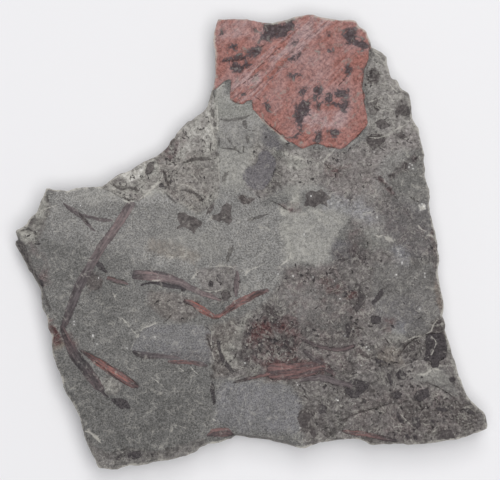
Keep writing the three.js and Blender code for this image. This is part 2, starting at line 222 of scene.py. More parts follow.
# Flattened stems: the centreline, the full width at each of its points, and evenly along it how rusted
# and how black with carbon it is, from 0 to 1
STEMS = {
    "forked stem, upper": dict(
        line=[(132, 202), (126, 212), (119.5, 222), (113, 231), (106.5, 240), (101, 248), (96, 256),
              (91, 265), (86, 273), (82.5, 280), (78, 288), (75, 297), (71.5, 306), (68, 315), (65, 322),
              (63.5, 328)],
        width=[8, 9, 8.5, 8.5, 9, 9, 8.5, 8.5, 9, 9.5, 9.5, 9, 8.5, 8, 7, 5],
        red=[0.0, 0.1, 0.08, 0.05, 0.0, 0.0, 0.0, 0.05], dark=[0.5, 0.12, 0.25, 0.4, 0.65, 0.7, 0.75, 0.9]),
    "forked stem, lower": dict(
        line=[(62, 326), (64, 333), (67, 340), (70.5, 347), (74, 354), (79, 361), (84.5, 367), (90, 375),
              (95, 381), (99, 386.5), (103, 392), (108, 397)],
        width=[4, 6, 8, 9, 11, 11, 11, 11, 11, 9, 3, 1.5],
        red=[0.1, 0.1, 0.05, 0.0, 0.05, 0.05, 0.0], dark=[0.9, 0.9, 0.9, 1.0, 0.85, 0.85, 1.0]),
    "lens on the lower rim": dict(
        line=[(207, 436), (213, 433), (220, 432), (227, 432.5), (233, 434.5)],
        width=[2, 8, 9.5, 9, 3], red=[0.15, 0.25, 0.2, 0.1], dark=[0.8, 0.6, 0.7, 0.9]),
    "red spindle": dict(
        line=[(80, 350.5), (90, 356.5), (100, 363), (110, 369.5), (118, 375), (126, 380.5), (133, 384.5),
              (138, 387)],
        width=[1.5, 5, 7.5, 9, 9, 8, 7, 4],
        red=[0.1, 0.35, 0.6, 0.75, 0.7, 0.55, 0.1], dark=[1.0, 0.9, 0.4, 0.2, 0.2, 0.5, 1.0]),
    "side shoot": dict(
        line=[(63, 203), (68, 207), (74, 211), (80, 215), (84, 219), (88, 224), (91, 228), (95, 231)],
        width=[2, 4, 5, 4.5, 4, 3.5, 2.5, 1.5], red=[0.0], dark=[0.3, 0.6, 0.65, 0.4]),
    "side twig": dict(
        line=[(83, 215), (90, 217), (97, 219), (104, 220), (111, 220)],
        width=[2.5, 3, 2.5, 3.5, 2], red=[0.0], dark=[0.5, 0.35]),
    "broad stem": dict(
        line=[(133, 274.5), (140, 275), (148, 275.5), (156, 276.5), (164, 277.5), (172, 279.5), (180, 282),
              (188, 286.5), (196, 290.5), (204, 294), (212, 297), (221, 300)],
        width=[9, 10, 10, 10, 9.5, 8.5, 7.5, 6.5, 5.5, 5, 4.5, 2],
        red=[0.0, 0.12, 0.08, 0.05, 0.05, 0.1, 0.1], dark=[0.9, 0.15, 0.1, 0.15, 0.2, 0.1, 0.1]),
    "upper edge of the broad stem": dict(
        line=[(141, 271), (150, 271.5), (158, 273), (166, 275), (174, 278)],
        width=[1.5, 3, 4, 4, 2], red=[0.0], dark=[0.6]),
    "black stem under it": dict(
        line=[(141, 285.5), (145, 283.5), (151, 282.5), (158, 283), (166, 285), (174, 286.5), (181, 287.5),
              (186, 288.5)],
        width=[1.5, 2.2, 2.2, 4, 5, 4, 3.5, 2], red=[0.0], dark=[1.0]),
    "thin red stem": dict(
        line=[(107, 278), (114, 280), (121, 282), (128, 284)],
        width=[4, 4, 3.5, 2], red=[0.3, 0.2, 0.2], dark=[0.4, 0.1, 0.3]),
    "bent stem": dict(
        line=[(184, 301), (190, 302.5), (196, 305.5), (203, 310), (209, 314), (214, 316.5), (220, 316),
              (226, 311.5), (232, 307), (239, 302.5), (247, 298.5), (255, 294.5), (262, 292.5), (268, 290)],
        width=[4, 5, 6, 6.5, 5.5, 4.5, 3.5, 5, 6.5, 7, 7, 6.5, 5.5, 3],
        red=[0.1, 0.7, 0.9, 0.7, 0.6, 0.4, 0.5, 0.6, 0.4, 0.3, 0.2],
        dark=[0.9, 0.0, 0.0, 0.2, 0.2, 0.5, 0.4, 0.2, 0.6, 0.8, 0.5]),
    "twig on the flake": dict(
        line=[(133, 351.5), (138, 353.5), (144, 355), (151, 355.5), (160, 356), (170, 357), (180, 358)],
        width=[3, 6, 7, 6.5, 5, 4, 2], red=[0.0], dark=[1.0, 0.8, 0.6, 0.4, 0.3]),
    "twig below it": dict(
        line=[(168, 361.5), (174, 362), (181, 362), (188, 362.5), (196, 363.5), (203, 364.5), (207, 365.5)],
        width=[2, 3.5, 4, 4, 4.5, 4.5, 2], red=[0.3, 0.45, 0.4, 0.1, 0.0], dark=[0.6, 0.3, 0.4, 0.6, 0.6]),
    "thin twig": dict(
        line=[(233, 383), (240, 381), (247, 379), (254, 377.5), (262, 375.5), (268, 374), (273, 373)],
        width=[1.5, 2.5, 3, 3, 3.5, 4, 5], red=[0.0, 0.1, 0.4, 0.5], dark=[0.9, 0.9, 0.5, 0.2]),
    "ribbed stem": dict(
        line=[(268, 372), (272, 371.5), (280, 371.5), (288, 371.5), (297, 370.5), (306, 369.5), (314, 368),
              (322, 366.5), (330, 367)],
        width=[12, 16, 17, 17, 16, 14, 12, 9, 4], red=[0.22, 0.3, 0.28, 0.28, 0.22],
        dark=[0.75, 0.6, 0.65, 0.65, 0.85]),
    "dark stem, upper": dict(
        line=[(300, 338), (308, 342), (316, 345.5), (326, 348), (336, 350), (345, 349), (354, 346)],
        width=[2, 3, 3.5, 3.5, 4, 5.5, 4], red=[0.06, 0.1], dark=[0.65, 0.75]),
    "dark stem, slanting": dict(
        line=[(304, 351), (312, 357), (320, 363), (327, 369), (335, 375)], width=[4, 6, 6, 6, 4],
        red=[0.0, 0.1], dark=[0.7, 0.9]),
    "dark stem, lower": dict(
        line=[(300, 381), (310, 378.5), (320, 377.5), (328, 379), (336, 382), (345, 384), (352, 387)],
        width=[3, 5, 6.5, 7, 7, 6, 4], red=[0.0], dark=[0.4, 0.5, 0.5]),
    "upright twig": dict(
        line=[(237, 271), (237, 279), (236, 288), (236, 296)], width=[3, 5, 5, 3], red=[0.05], dark=[0.35]),
    "stem on the lower rim": dict(
        line=[(342, 431), (350, 432.5), (358, 433.5), (366, 434.5), (374, 436), (384, 438.5), (396, 440.5)],
        width=[2, 4, 5, 4, 4, 5, 3], red=[0.3, 0.45, 0.35, 0.1, 0.0], dark=[0.5, 0.4, 0.5, 0.9, 1.0]),
}

# Dark flakes of plant matter, as outlines
FLAKES = {
    "lens, dark end": [(230, 432), (234, 433), (234, 436), (230, 437)],
    "tail": [(104, 393), (110, 397.5), (116, 398), (122, 398.5), (127, 400), (130, 404), (131, 408),
             (128, 409), (124, 408), (122, 410), (118, 407), (113, 402)],
    "by the stem": [(94.5, 263), (97.5, 261), (101.5, 262.5), (105, 267), (108, 273), (104, 272.5),
                    (99.5, 270)],
    "stem's black end": [(180, 288), (186, 287), (187, 289), (184, 291.5), (181, 291)],
    "square": [(350, 381), (355, 379), (360, 380), (370, 383), (369, 387), (365, 391), (360, 395),
               (357, 398), (351, 398), (347, 394), (345, 390), (348, 385)],
    "seed-like": [(425, 337), (430, 333), (436, 334), (441, 332), (445, 336), (447, 349), (446, 357),
                  (440, 361), (438, 367), (432, 368), (431, 362), (424, 360), (426, 350)],
    "round": [(396, 373), (399, 370), (403, 371), (406, 375), (404, 380), (399, 380), (396, 377)],
    "by the far rim": [(466, 408), (470, 409), (475, 413), (474, 416), (469, 414), (465, 411)],
    "right lower": [(416, 392), (423, 389), (428, 388), (430, 396), (425, 399), (420, 402), (415, 400),
                    (414, 396)],
    "right bar": [(382, 288), (384, 293), (381, 298), (377, 302), (373, 305), (370, 303), (374, 299),
                  (377, 294)],
    "right block": [(371, 316), (375, 315), (381, 317), (381, 323), (374, 324.5), (370.5, 323)],
    "small right": [(342, 294), (346, 290), (348, 294), (346, 297), (342, 297)],
    "fork right": [(354, 290), (356, 284), (358, 283), (361, 286), (361, 291), (358, 291)],
    "fork right, lower": [(359, 292), (363, 293), (366, 297), (364, 303), (360, 309), (357, 312),
                          (353, 307), (358, 302)],
    "lower right edge": [(434, 438), (438, 433), (443, 430), (450, 429), (454, 434), (455, 440),
                         (445, 441)],
    "lower middle": [(300, 411), (307, 408), (312, 413), (313, 421), (309, 429), (307, 433), (301, 431),
                     (300, 427), (297, 418)],
    "below it": [(310, 432), (315, 431), (317, 436), (313, 439)],
    "bottom left": [(127, 454), (133, 451), (140, 452), (142, 456), (136, 459), (128, 458)],
    "bottom left, small": [(115, 457), (119, 456), (121, 459), (117, 460)],
    "star": [(177, 213), (184, 212), (190, 216), (196, 218), (203, 222), (201, 226), (196, 229), (195, 235),
             (190, 230), (184, 227), (175, 230), (180, 224), (177, 219)],
    "brown": [(222, 206), (227, 202), (232, 206), (231, 213), (232, 221), (229, 225), (223, 221),
              (218, 222), (212, 219), (212, 215), (218, 214), (221, 210)],
    "by the brown": [(206, 215), (208, 209), (211, 205), (214, 203), (214, 208), (211, 213)],
    "spindle": [(212, 380), (214, 386), (215, 395), (216, 403), (213, 406), (211, 396), (210, 388)],
    "bent bar": [(217, 340), (220, 340), (221, 349), (224, 358), (230, 365), (235, 372), (232, 374),
                 (226, 367), (220, 359), (218, 350)],
    "centre": [(221, 293), (224, 290), (229, 292), (232, 297), (228, 299), (229, 302), (224, 300),
               (222, 298)],
    "under the square": [(317, 405), (322, 403), (327, 407), (326, 413), (320, 414), (316, 410)],
    "dash": [(435, 408), (441, 407), (448, 409), (446, 412), (438, 411)],
    "under the seed-like": [(449, 377), (454, 376), (456, 380), (452, 383), (449, 381)],
    "end of the ribbed stem": [(320, 366), (326, 364), (332, 369), (333, 374), (327, 373), (322, 370)],
    "smear": [(344, 325), (349, 322), (351, 330), (349, 338), (344, 336), (346, 330)],
    "centre, left": [(208, 284), (210, 280), (213, 282), (213, 287), (209, 287)],
    "corner patch": [(145, 170), (148, 163), (153, 161), (154, 168), (150, 174), (145, 175)],
    "corner spot": [(159, 184), (162, 182), (165, 187), (161, 188), (159, 187)],
    "shelf, upper": [(375, 122), (381, 119), (388, 122), (391, 126), (384, 129), (377, 128)],
    "shelf, right": [(395, 111), (398, 106), (405, 104), (409, 107), (411, 114), (405, 116), (400, 114),
                     (397, 118)],
    "below the red": [(365, 139), (373, 136), (384, 137), (385, 141), (378, 146), (374, 150), (369, 145)],
    "right of it": [(396, 135), (401, 132), (407, 137), (402, 139)],
    "beside the pale hump": [(303, 206), (306, 199), (305, 193), (311, 190), (316, 192), (321, 189),
                             (326, 194), (331, 198), (326, 201), (327, 206), (320, 204), (315, 208),
                             (309, 206)],
    "brown, by the stem": [(86, 276), (92, 273), (98, 276), (103, 279), (102, 287), (97, 290), (90, 290),
                           (86, 285)],
    "long bar": [(387, 373), (390, 374), (393, 382), (391, 387), (388, 381)],
    "curved bar": [(395, 410), (399, 414), (403, 420), (404, 424), (400, 423), (396, 416)],
    "low patch": [(391, 393), (397, 391), (402, 393), (400, 398), (394, 399)],
    "low spot": [(412, 418), (419, 417), (421, 425), (417, 429), (413, 425)],
    "rim spot": [(404, 434), (408, 433), (410, 438), (406, 440)],
    "rim spot, right": [(413, 436), (417, 435), (417, 440), (414, 440)],
    "hooked": [(375, 357.5), (380, 359.5), (388, 362.5), (389, 364), (382, 362.5), (379, 364), (376, 363)],
    "by the white grains": [(360, 339), (363, 340), (365, 346), (361, 346)],
    "left rim": [(40, 279), (44, 280), (44, 286), (41, 290)],
}

PURPLE_FILMS = [
    [(262, 150), (268, 150), (275, 158), (276, 164), (272, 178), (268, 185), (262, 190), (253, 189),
     (247, 185), (243, 179), (243, 173), (248, 167), (255, 165), (258, 160), (258, 154)],
]

# Dark open or stained cracks, partly painted shade at the foot of small steps, and pale lines along the
# ledges, partly bruised stone and partly painted light on edges that face the light: half the width, and the
# line
DARK_LINES = [
    (1.6, [(111, 184), (118, 187), (125, 188), (131, 188), (137, 190), (141, 191)]),
    (1.3, [(122, 197), (128, 199.5), (136, 199)]),
    (0.5, [(371, 167), (380, 178), (392, 193), (404, 208), (413, 222), (424, 231)]),
    (1.2, [(379, 179), (385, 185), (391, 191)]),
    (0.8, [(408, 196), (414, 199), (420, 203)]),
    (1.8, [(184, 162.5), (192, 160), (200, 158.5), (207, 158.5), (212, 160)]),
    (1.5, [(180, 190), (187, 190), (193, 192), (198, 196), (202, 201), (203, 205)]),
    (1.6, [(228, 172), (225, 176), (222, 182)]),
    (1.5, [(247, 221), (254, 218.5), (262, 216), (269, 214)]),
    (1.7, [(233, 246), (230.5, 251), (228, 256), (227, 263)]),
    (1.4, [(163, 170), (166, 178), (169, 189)]),
    (1.2, [(165, 193), (170, 198), (176, 203)]),
    (1.3, [(218, 119), (228, 120.5), (240, 119), (246, 117), (252, 114)]),
    (2.0, [(244, 120), (245, 126), (247, 129)]),
    (1.1, [(220, 148), (230, 148.5), (236, 150), (243, 155)]),
    (1.2, [(227, 138), (232, 145), (236, 150), (240, 153)]),
    (1.0, [(219, 136), (219, 148)]),
    (1.5, [(247, 134), (248, 144)]),
    (0.9, [(247, 130), (256, 131)]),
    (1.2, [(244, 145), (243, 153)]),
    (1.0, [(211, 140), (210, 148), (211, 154)]),
    (1.4, [(211, 108), (213, 113), (213.5, 118)]),
    (1.3, [(215, 122), (215.5, 127)]),
    (0.9, [(200, 139), (204, 140), (206, 145)]),
    (1.2, [(335, 424), (345, 419), (355, 414), (365, 411), (375, 408), (392, 403)]),
    (1.4, [(46, 297), (48, 304), (50, 312)]),
    (1.2, [(80, 349), (90, 353.5), (100, 359), (108, 364), (115, 369)]),
    (0.8, [(118, 368), (124, 373), (130, 378), (138, 384), (140, 387)]),
    (1.0, [(90, 358), (100, 365), (110, 373), (122, 382), (132, 388)]),
    (0.8, [(107, 276.5), (118, 279), (128, 281.5)]),
    (0.8, [(108, 281), (118, 284), (127, 286)]),
    (1.2, [(206, 314), (213, 318), (220, 318.5)]),
    (1.0, [(222, 314.5), (229, 309), (236, 304)]),
    (0.9, [(228, 312), (236, 307)]),
    (1.4, [(246, 300), (256, 295), (265, 292)]),
    (1.1, [(204, 325), (209, 329), (212, 333)]),
    (1.1, [(207, 337), (209, 343), (211, 349)]),
    (1.0, [(172, 314), (168, 319), (163, 323)]),
    (1.3, [(212, 366), (215, 370)]),
    (1.3, [(210, 375), (215, 379)]),
    (0.8, [(270, 200), (280, 205), (290, 212)]),
    (0.9, [(352, 330), (358, 328), (366, 330)]),
    (0.9, [(385, 338), (389, 344)]),
    (1.0, [(425, 335), (414, 339), (406, 346), (399, 356)]),
    (0.9, [(325, 163), (328, 168), (335, 170)]),
    (0.8, [(415, 257), (424, 258)]),
    (1.0, [(418, 336), (428, 334), (436, 333)]),
    (0.9, [(303, 395), (308, 399)]),
    (1.2, [(78, 213), (84, 219), (89, 225)]),
    (1.0, [(47, 196), (49, 202)]),
    (1.2, [(20, 231), (27, 229), (33, 231)]),
    (1.0, [(33, 233), (38, 235)]),
    (0.8, [(415, 381), (428, 383), (438, 387), (448, 393), (456, 400), (462, 406)]),
]
PALE_LINES = [
    (1.1, [(84, 431), (90, 432), (96, 438), (102, 444)]),
    (0.8, [(212, 418), (216, 421)]),
    (0.8, [(119, 315), (125, 321), (131, 329), (138, 336)]),
    (0.7, [(41, 210), (48, 208), (57, 205)]),
    (0.6, [(119, 242), (126, 244), (132, 250), (138, 254)]),
    (0.5, [(141, 252), (155, 257), (166, 256), (177, 257), (188, 256), (200, 259)]),
    (0.5, [(150, 376), (158, 382), (165, 388)]),
    (0.5, [(172, 425), (180, 426), (187, 429)]),
    (0.7, [(131, 350), (133, 344), (138, 335), (143, 328), (150, 326), (158, 322), (166, 322)]),
    (0.7, [(209, 327), (212, 332), (211, 342), (213, 354), (215, 363)]),
    (0.9, [(243, 278), (250, 270), (262, 265)]),
    (0.9, [(280, 266), (290, 258), (291, 250)]),
    (1.0, [(366, 137), (378, 138), (388, 135), (395, 130), (403, 126), (408, 123)]),
    (1.2, [(375, 235), (379, 236.5), (383, 235)]),
    (1.4, [(384, 236), (389, 239), (395, 243)]),
    (0.9, [(418, 224), (421, 229), (427, 232)]),
    (1.1, [(427, 235), (434, 236)]),
    (1.3, [(335, 149), (329, 155), (323, 163)]),
    (0.9, [(431, 336), (435, 340), (436, 344), (434, 349), (432, 354), (429, 357), (425, 358)]),
    (0.8, [(372, 50), (380, 56), (386, 66)]),
    (0.7, [(383, 90), (390, 96), (396, 104)]),
    (0.7, [(372, 92), (378, 96), (385, 98)]),
    (0.8, [(388, 82), (393, 88), (400, 94)]),
    (0.7, [(372, 60), (377, 63), (384, 62)]),
    (0.7, [(380, 112), (388, 108), (396, 110)]),
    (1.3, [(136, 201), (143, 197), (150, 191), (156, 186), (161, 180), (163, 172)]),
    (1.1, [(256, 114), (264, 122), (273, 130), (282, 137), (290, 145)]),
    (1.0, [(122, 200), (128, 202), (136, 201)]),
    (0.8, [(190, 280), (194, 276), (198, 272)]),
    (0.9, [(202, 290), (209, 291.5), (222, 290)]),
    (0.8, [(210, 267), (222, 266), (232, 267), (235, 270)]),
    (1.1, [(151, 281), (156, 280.5), (160, 280)]),
    (0.9, [(212, 352), (214, 358), (216, 363)]),
    (0.9, [(440, 317), (434, 324), (431, 331), (424, 335), (412, 338), (402, 343)]),
    (0.9, [(385, 96), (375, 100), (366, 103)]),
    (0.8, [(383, 177), (386, 183)]),
    (1.2, [(281, 152), (290, 155), (300, 158), (308, 162)]),
    (0.8, [(362, 214), (372, 212)]),
    (0.7, [(330, 320), (335, 326)]),
    (1.3, [(124, 173), (130, 178), (138, 176)]),
    (1.0, [(444, 371), (434, 369), (424, 374), (415, 375)]),
    (0.8, [(398, 412), (404, 418), (410, 424)]),
    (0.8, [(391, 429), (397, 426), (404, 427)]),
    (0.9, [(335, 400), (339, 401)]),
    (0.8, [(217, 100), (217.5, 118), (218, 134)]),
    (0.9, [(218, 152), (219, 170), (219, 186)]),
    (1.0, [(112, 292), (115, 298)]),
    (0.9, [(21, 232), (30, 235), (26, 240)]),
    (0.9, [(228, 83), (222, 85), (216, 91)]),
    (0.7, [(178, 367), (184, 371), (178, 371)]),
    (0.8, [(190, 366), (194, 371), (200, 376)]),
    (0.8, [(52, 232), (60, 231)]),
    (0.9, [(104, 186), (112, 180), (122, 173.5), (131, 170.5), (138, 165.5), (148, 160.5)]),
    (0.8, [(170, 142), (176, 134.5), (185, 125), (197, 116.5), (206, 109)]),
    (0.9, [(208.5, 104), (211, 94), (214, 87)]),
    (0.8, [(168, 144), (172, 150), (178, 152), (184, 148)]),
    (0.7, [(180, 166), (190, 162), (200, 162)]),
    (0.7, [(186, 172), (194, 176), (200, 184), (204, 192)]),
    (0.7, [(176, 186), (184, 184), (192, 188), (200, 192)]),
    (0.8, [(208, 110), (210, 122), (214, 136), (214, 150)]),
]

# Manganese smudges and thin dark veins on the red plane
SMUDGES = [
    [(262, 22), (272, 22), (282, 21), (291, 18), (294, 24), (290, 31), (286, 37), (276, 38), (268, 40),
     (261, 38), (264, 30)],
    [(262, 38), (260, 44), (252, 48), (246, 54), (238, 55), (229, 58), (222, 60), (222, 62), (232, 61),
     (245, 60), (256, 56), (262, 52), (258, 48)],
    [(232, 62), (240, 64), (250, 60), (252, 64), (244, 70), (238, 74), (234, 72), (231, 67)],
    [(343, 34), (346, 29), (354, 27), (356, 33), (355, 41), (352, 46), (345, 44)],
    [(355, 38), (362, 40), (371, 44), (367, 49), (358, 48), (352, 46)],
    [(288, 77), (290, 74), (296, 72), (303, 71.5), (301, 75), (295, 78)],
    [(298, 93), (301, 88), (308, 87), (307, 91), (303, 95)],
    [(313, 98), (315, 88), (318, 84.5), (321, 88), (321, 94), (317, 99)],
    [(294, 108), (296, 102), (303, 100), (309, 101), (311, 107), (309, 114), (304, 118), (304, 122),
     (302, 127), (297, 126), (294, 120), (295, 113)],
    [(324, 99), (328, 93), (333, 91), (333, 99), (330, 104), (325, 103)],
    [(334, 92), (341, 88), (349, 89), (349, 95), (341, 98), (335, 97)],
    [(331, 103), (338, 101), (348, 101), (350, 108), (344, 112), (338, 109)],
    [(313, 105), (318, 102), (322, 105), (320, 108), (315, 108)],
    [(262, 103), (266, 101), (270, 107), (268, 112), (264, 109)],
    [(314, 137), (318, 130), (322, 132), (321, 140), (317, 143), (314, 141)],
    [(328, 132), (334, 129), (340, 132), (336, 136), (330, 136)],
    [(291, 138), (296, 134), (301, 129), (301, 135), (297, 139)],
    [(344, 72), (346, 66), (352, 66), (353, 70), (348, 74)],
    [(288, 60), (292, 56), (299, 52.5), (302, 53), (299, 58), (293, 60.5)],
    [(270, 80), (272, 74), (276, 68), (278, 70), (275, 76)],
    [(363, 68), (368, 66), (368, 76), (364, 75)],
    [(219, 33), (222, 31), (223, 34), (221, 35)],
    [(252, 28), (255, 26), (256, 29), (253, 30)],
    [(226, 47), (231, 43), (236, 44), (238, 48), (233, 50), (227, 50)],
    [(242, 93), (244, 92), (245, 94), (243, 95)],
    [(329, 48), (332, 49), (333, 53), (330, 52)],
    [(327, 34), (330, 33), (330, 37), (327, 37)],
    [(292, 40), (298, 38), (297, 42), (293, 43)],
]
RED_VEINS = [
    (1.2, [(221, 61.5), (230, 60.5), (240, 60), (252, 55)]),
    (0.9, [(258, 49), (268, 42)]),
    (0.9, [(348, 74), (343, 81), (337, 87)]),
    (1.0, [(290, 140), (282, 135), (272, 127), (262, 118)]),
    (1.2, [(290, 141), (296, 146), (303, 149)]),
    (1.0, [(308, 145), (317, 143), (322, 145), (340, 149)]),
    (1.1, [(354, 139), (360, 133), (366, 127)]),
    (1.0, [(231, 80), (230, 90), (229, 99)]),
    (0.9, [(364, 68), (362, 82), (364, 100), (366, 112)]),
    (0.8, [(300, 131), (302, 128)]),
    (0.8, [(229, 99), (236, 103), (243, 104)]),
    (0.9, [(254, 97), (258, 98), (262, 102)]),
    (0.7, [(266, 60), (276, 50), (288, 42)]),
    (0.7, [(252, 72), (262, 64), (272, 58)]),
    (0.7, [(240, 86), (250, 78), (262, 72)]),
    (0.7, [(283, 62), (292, 52), (304, 44)]),
]

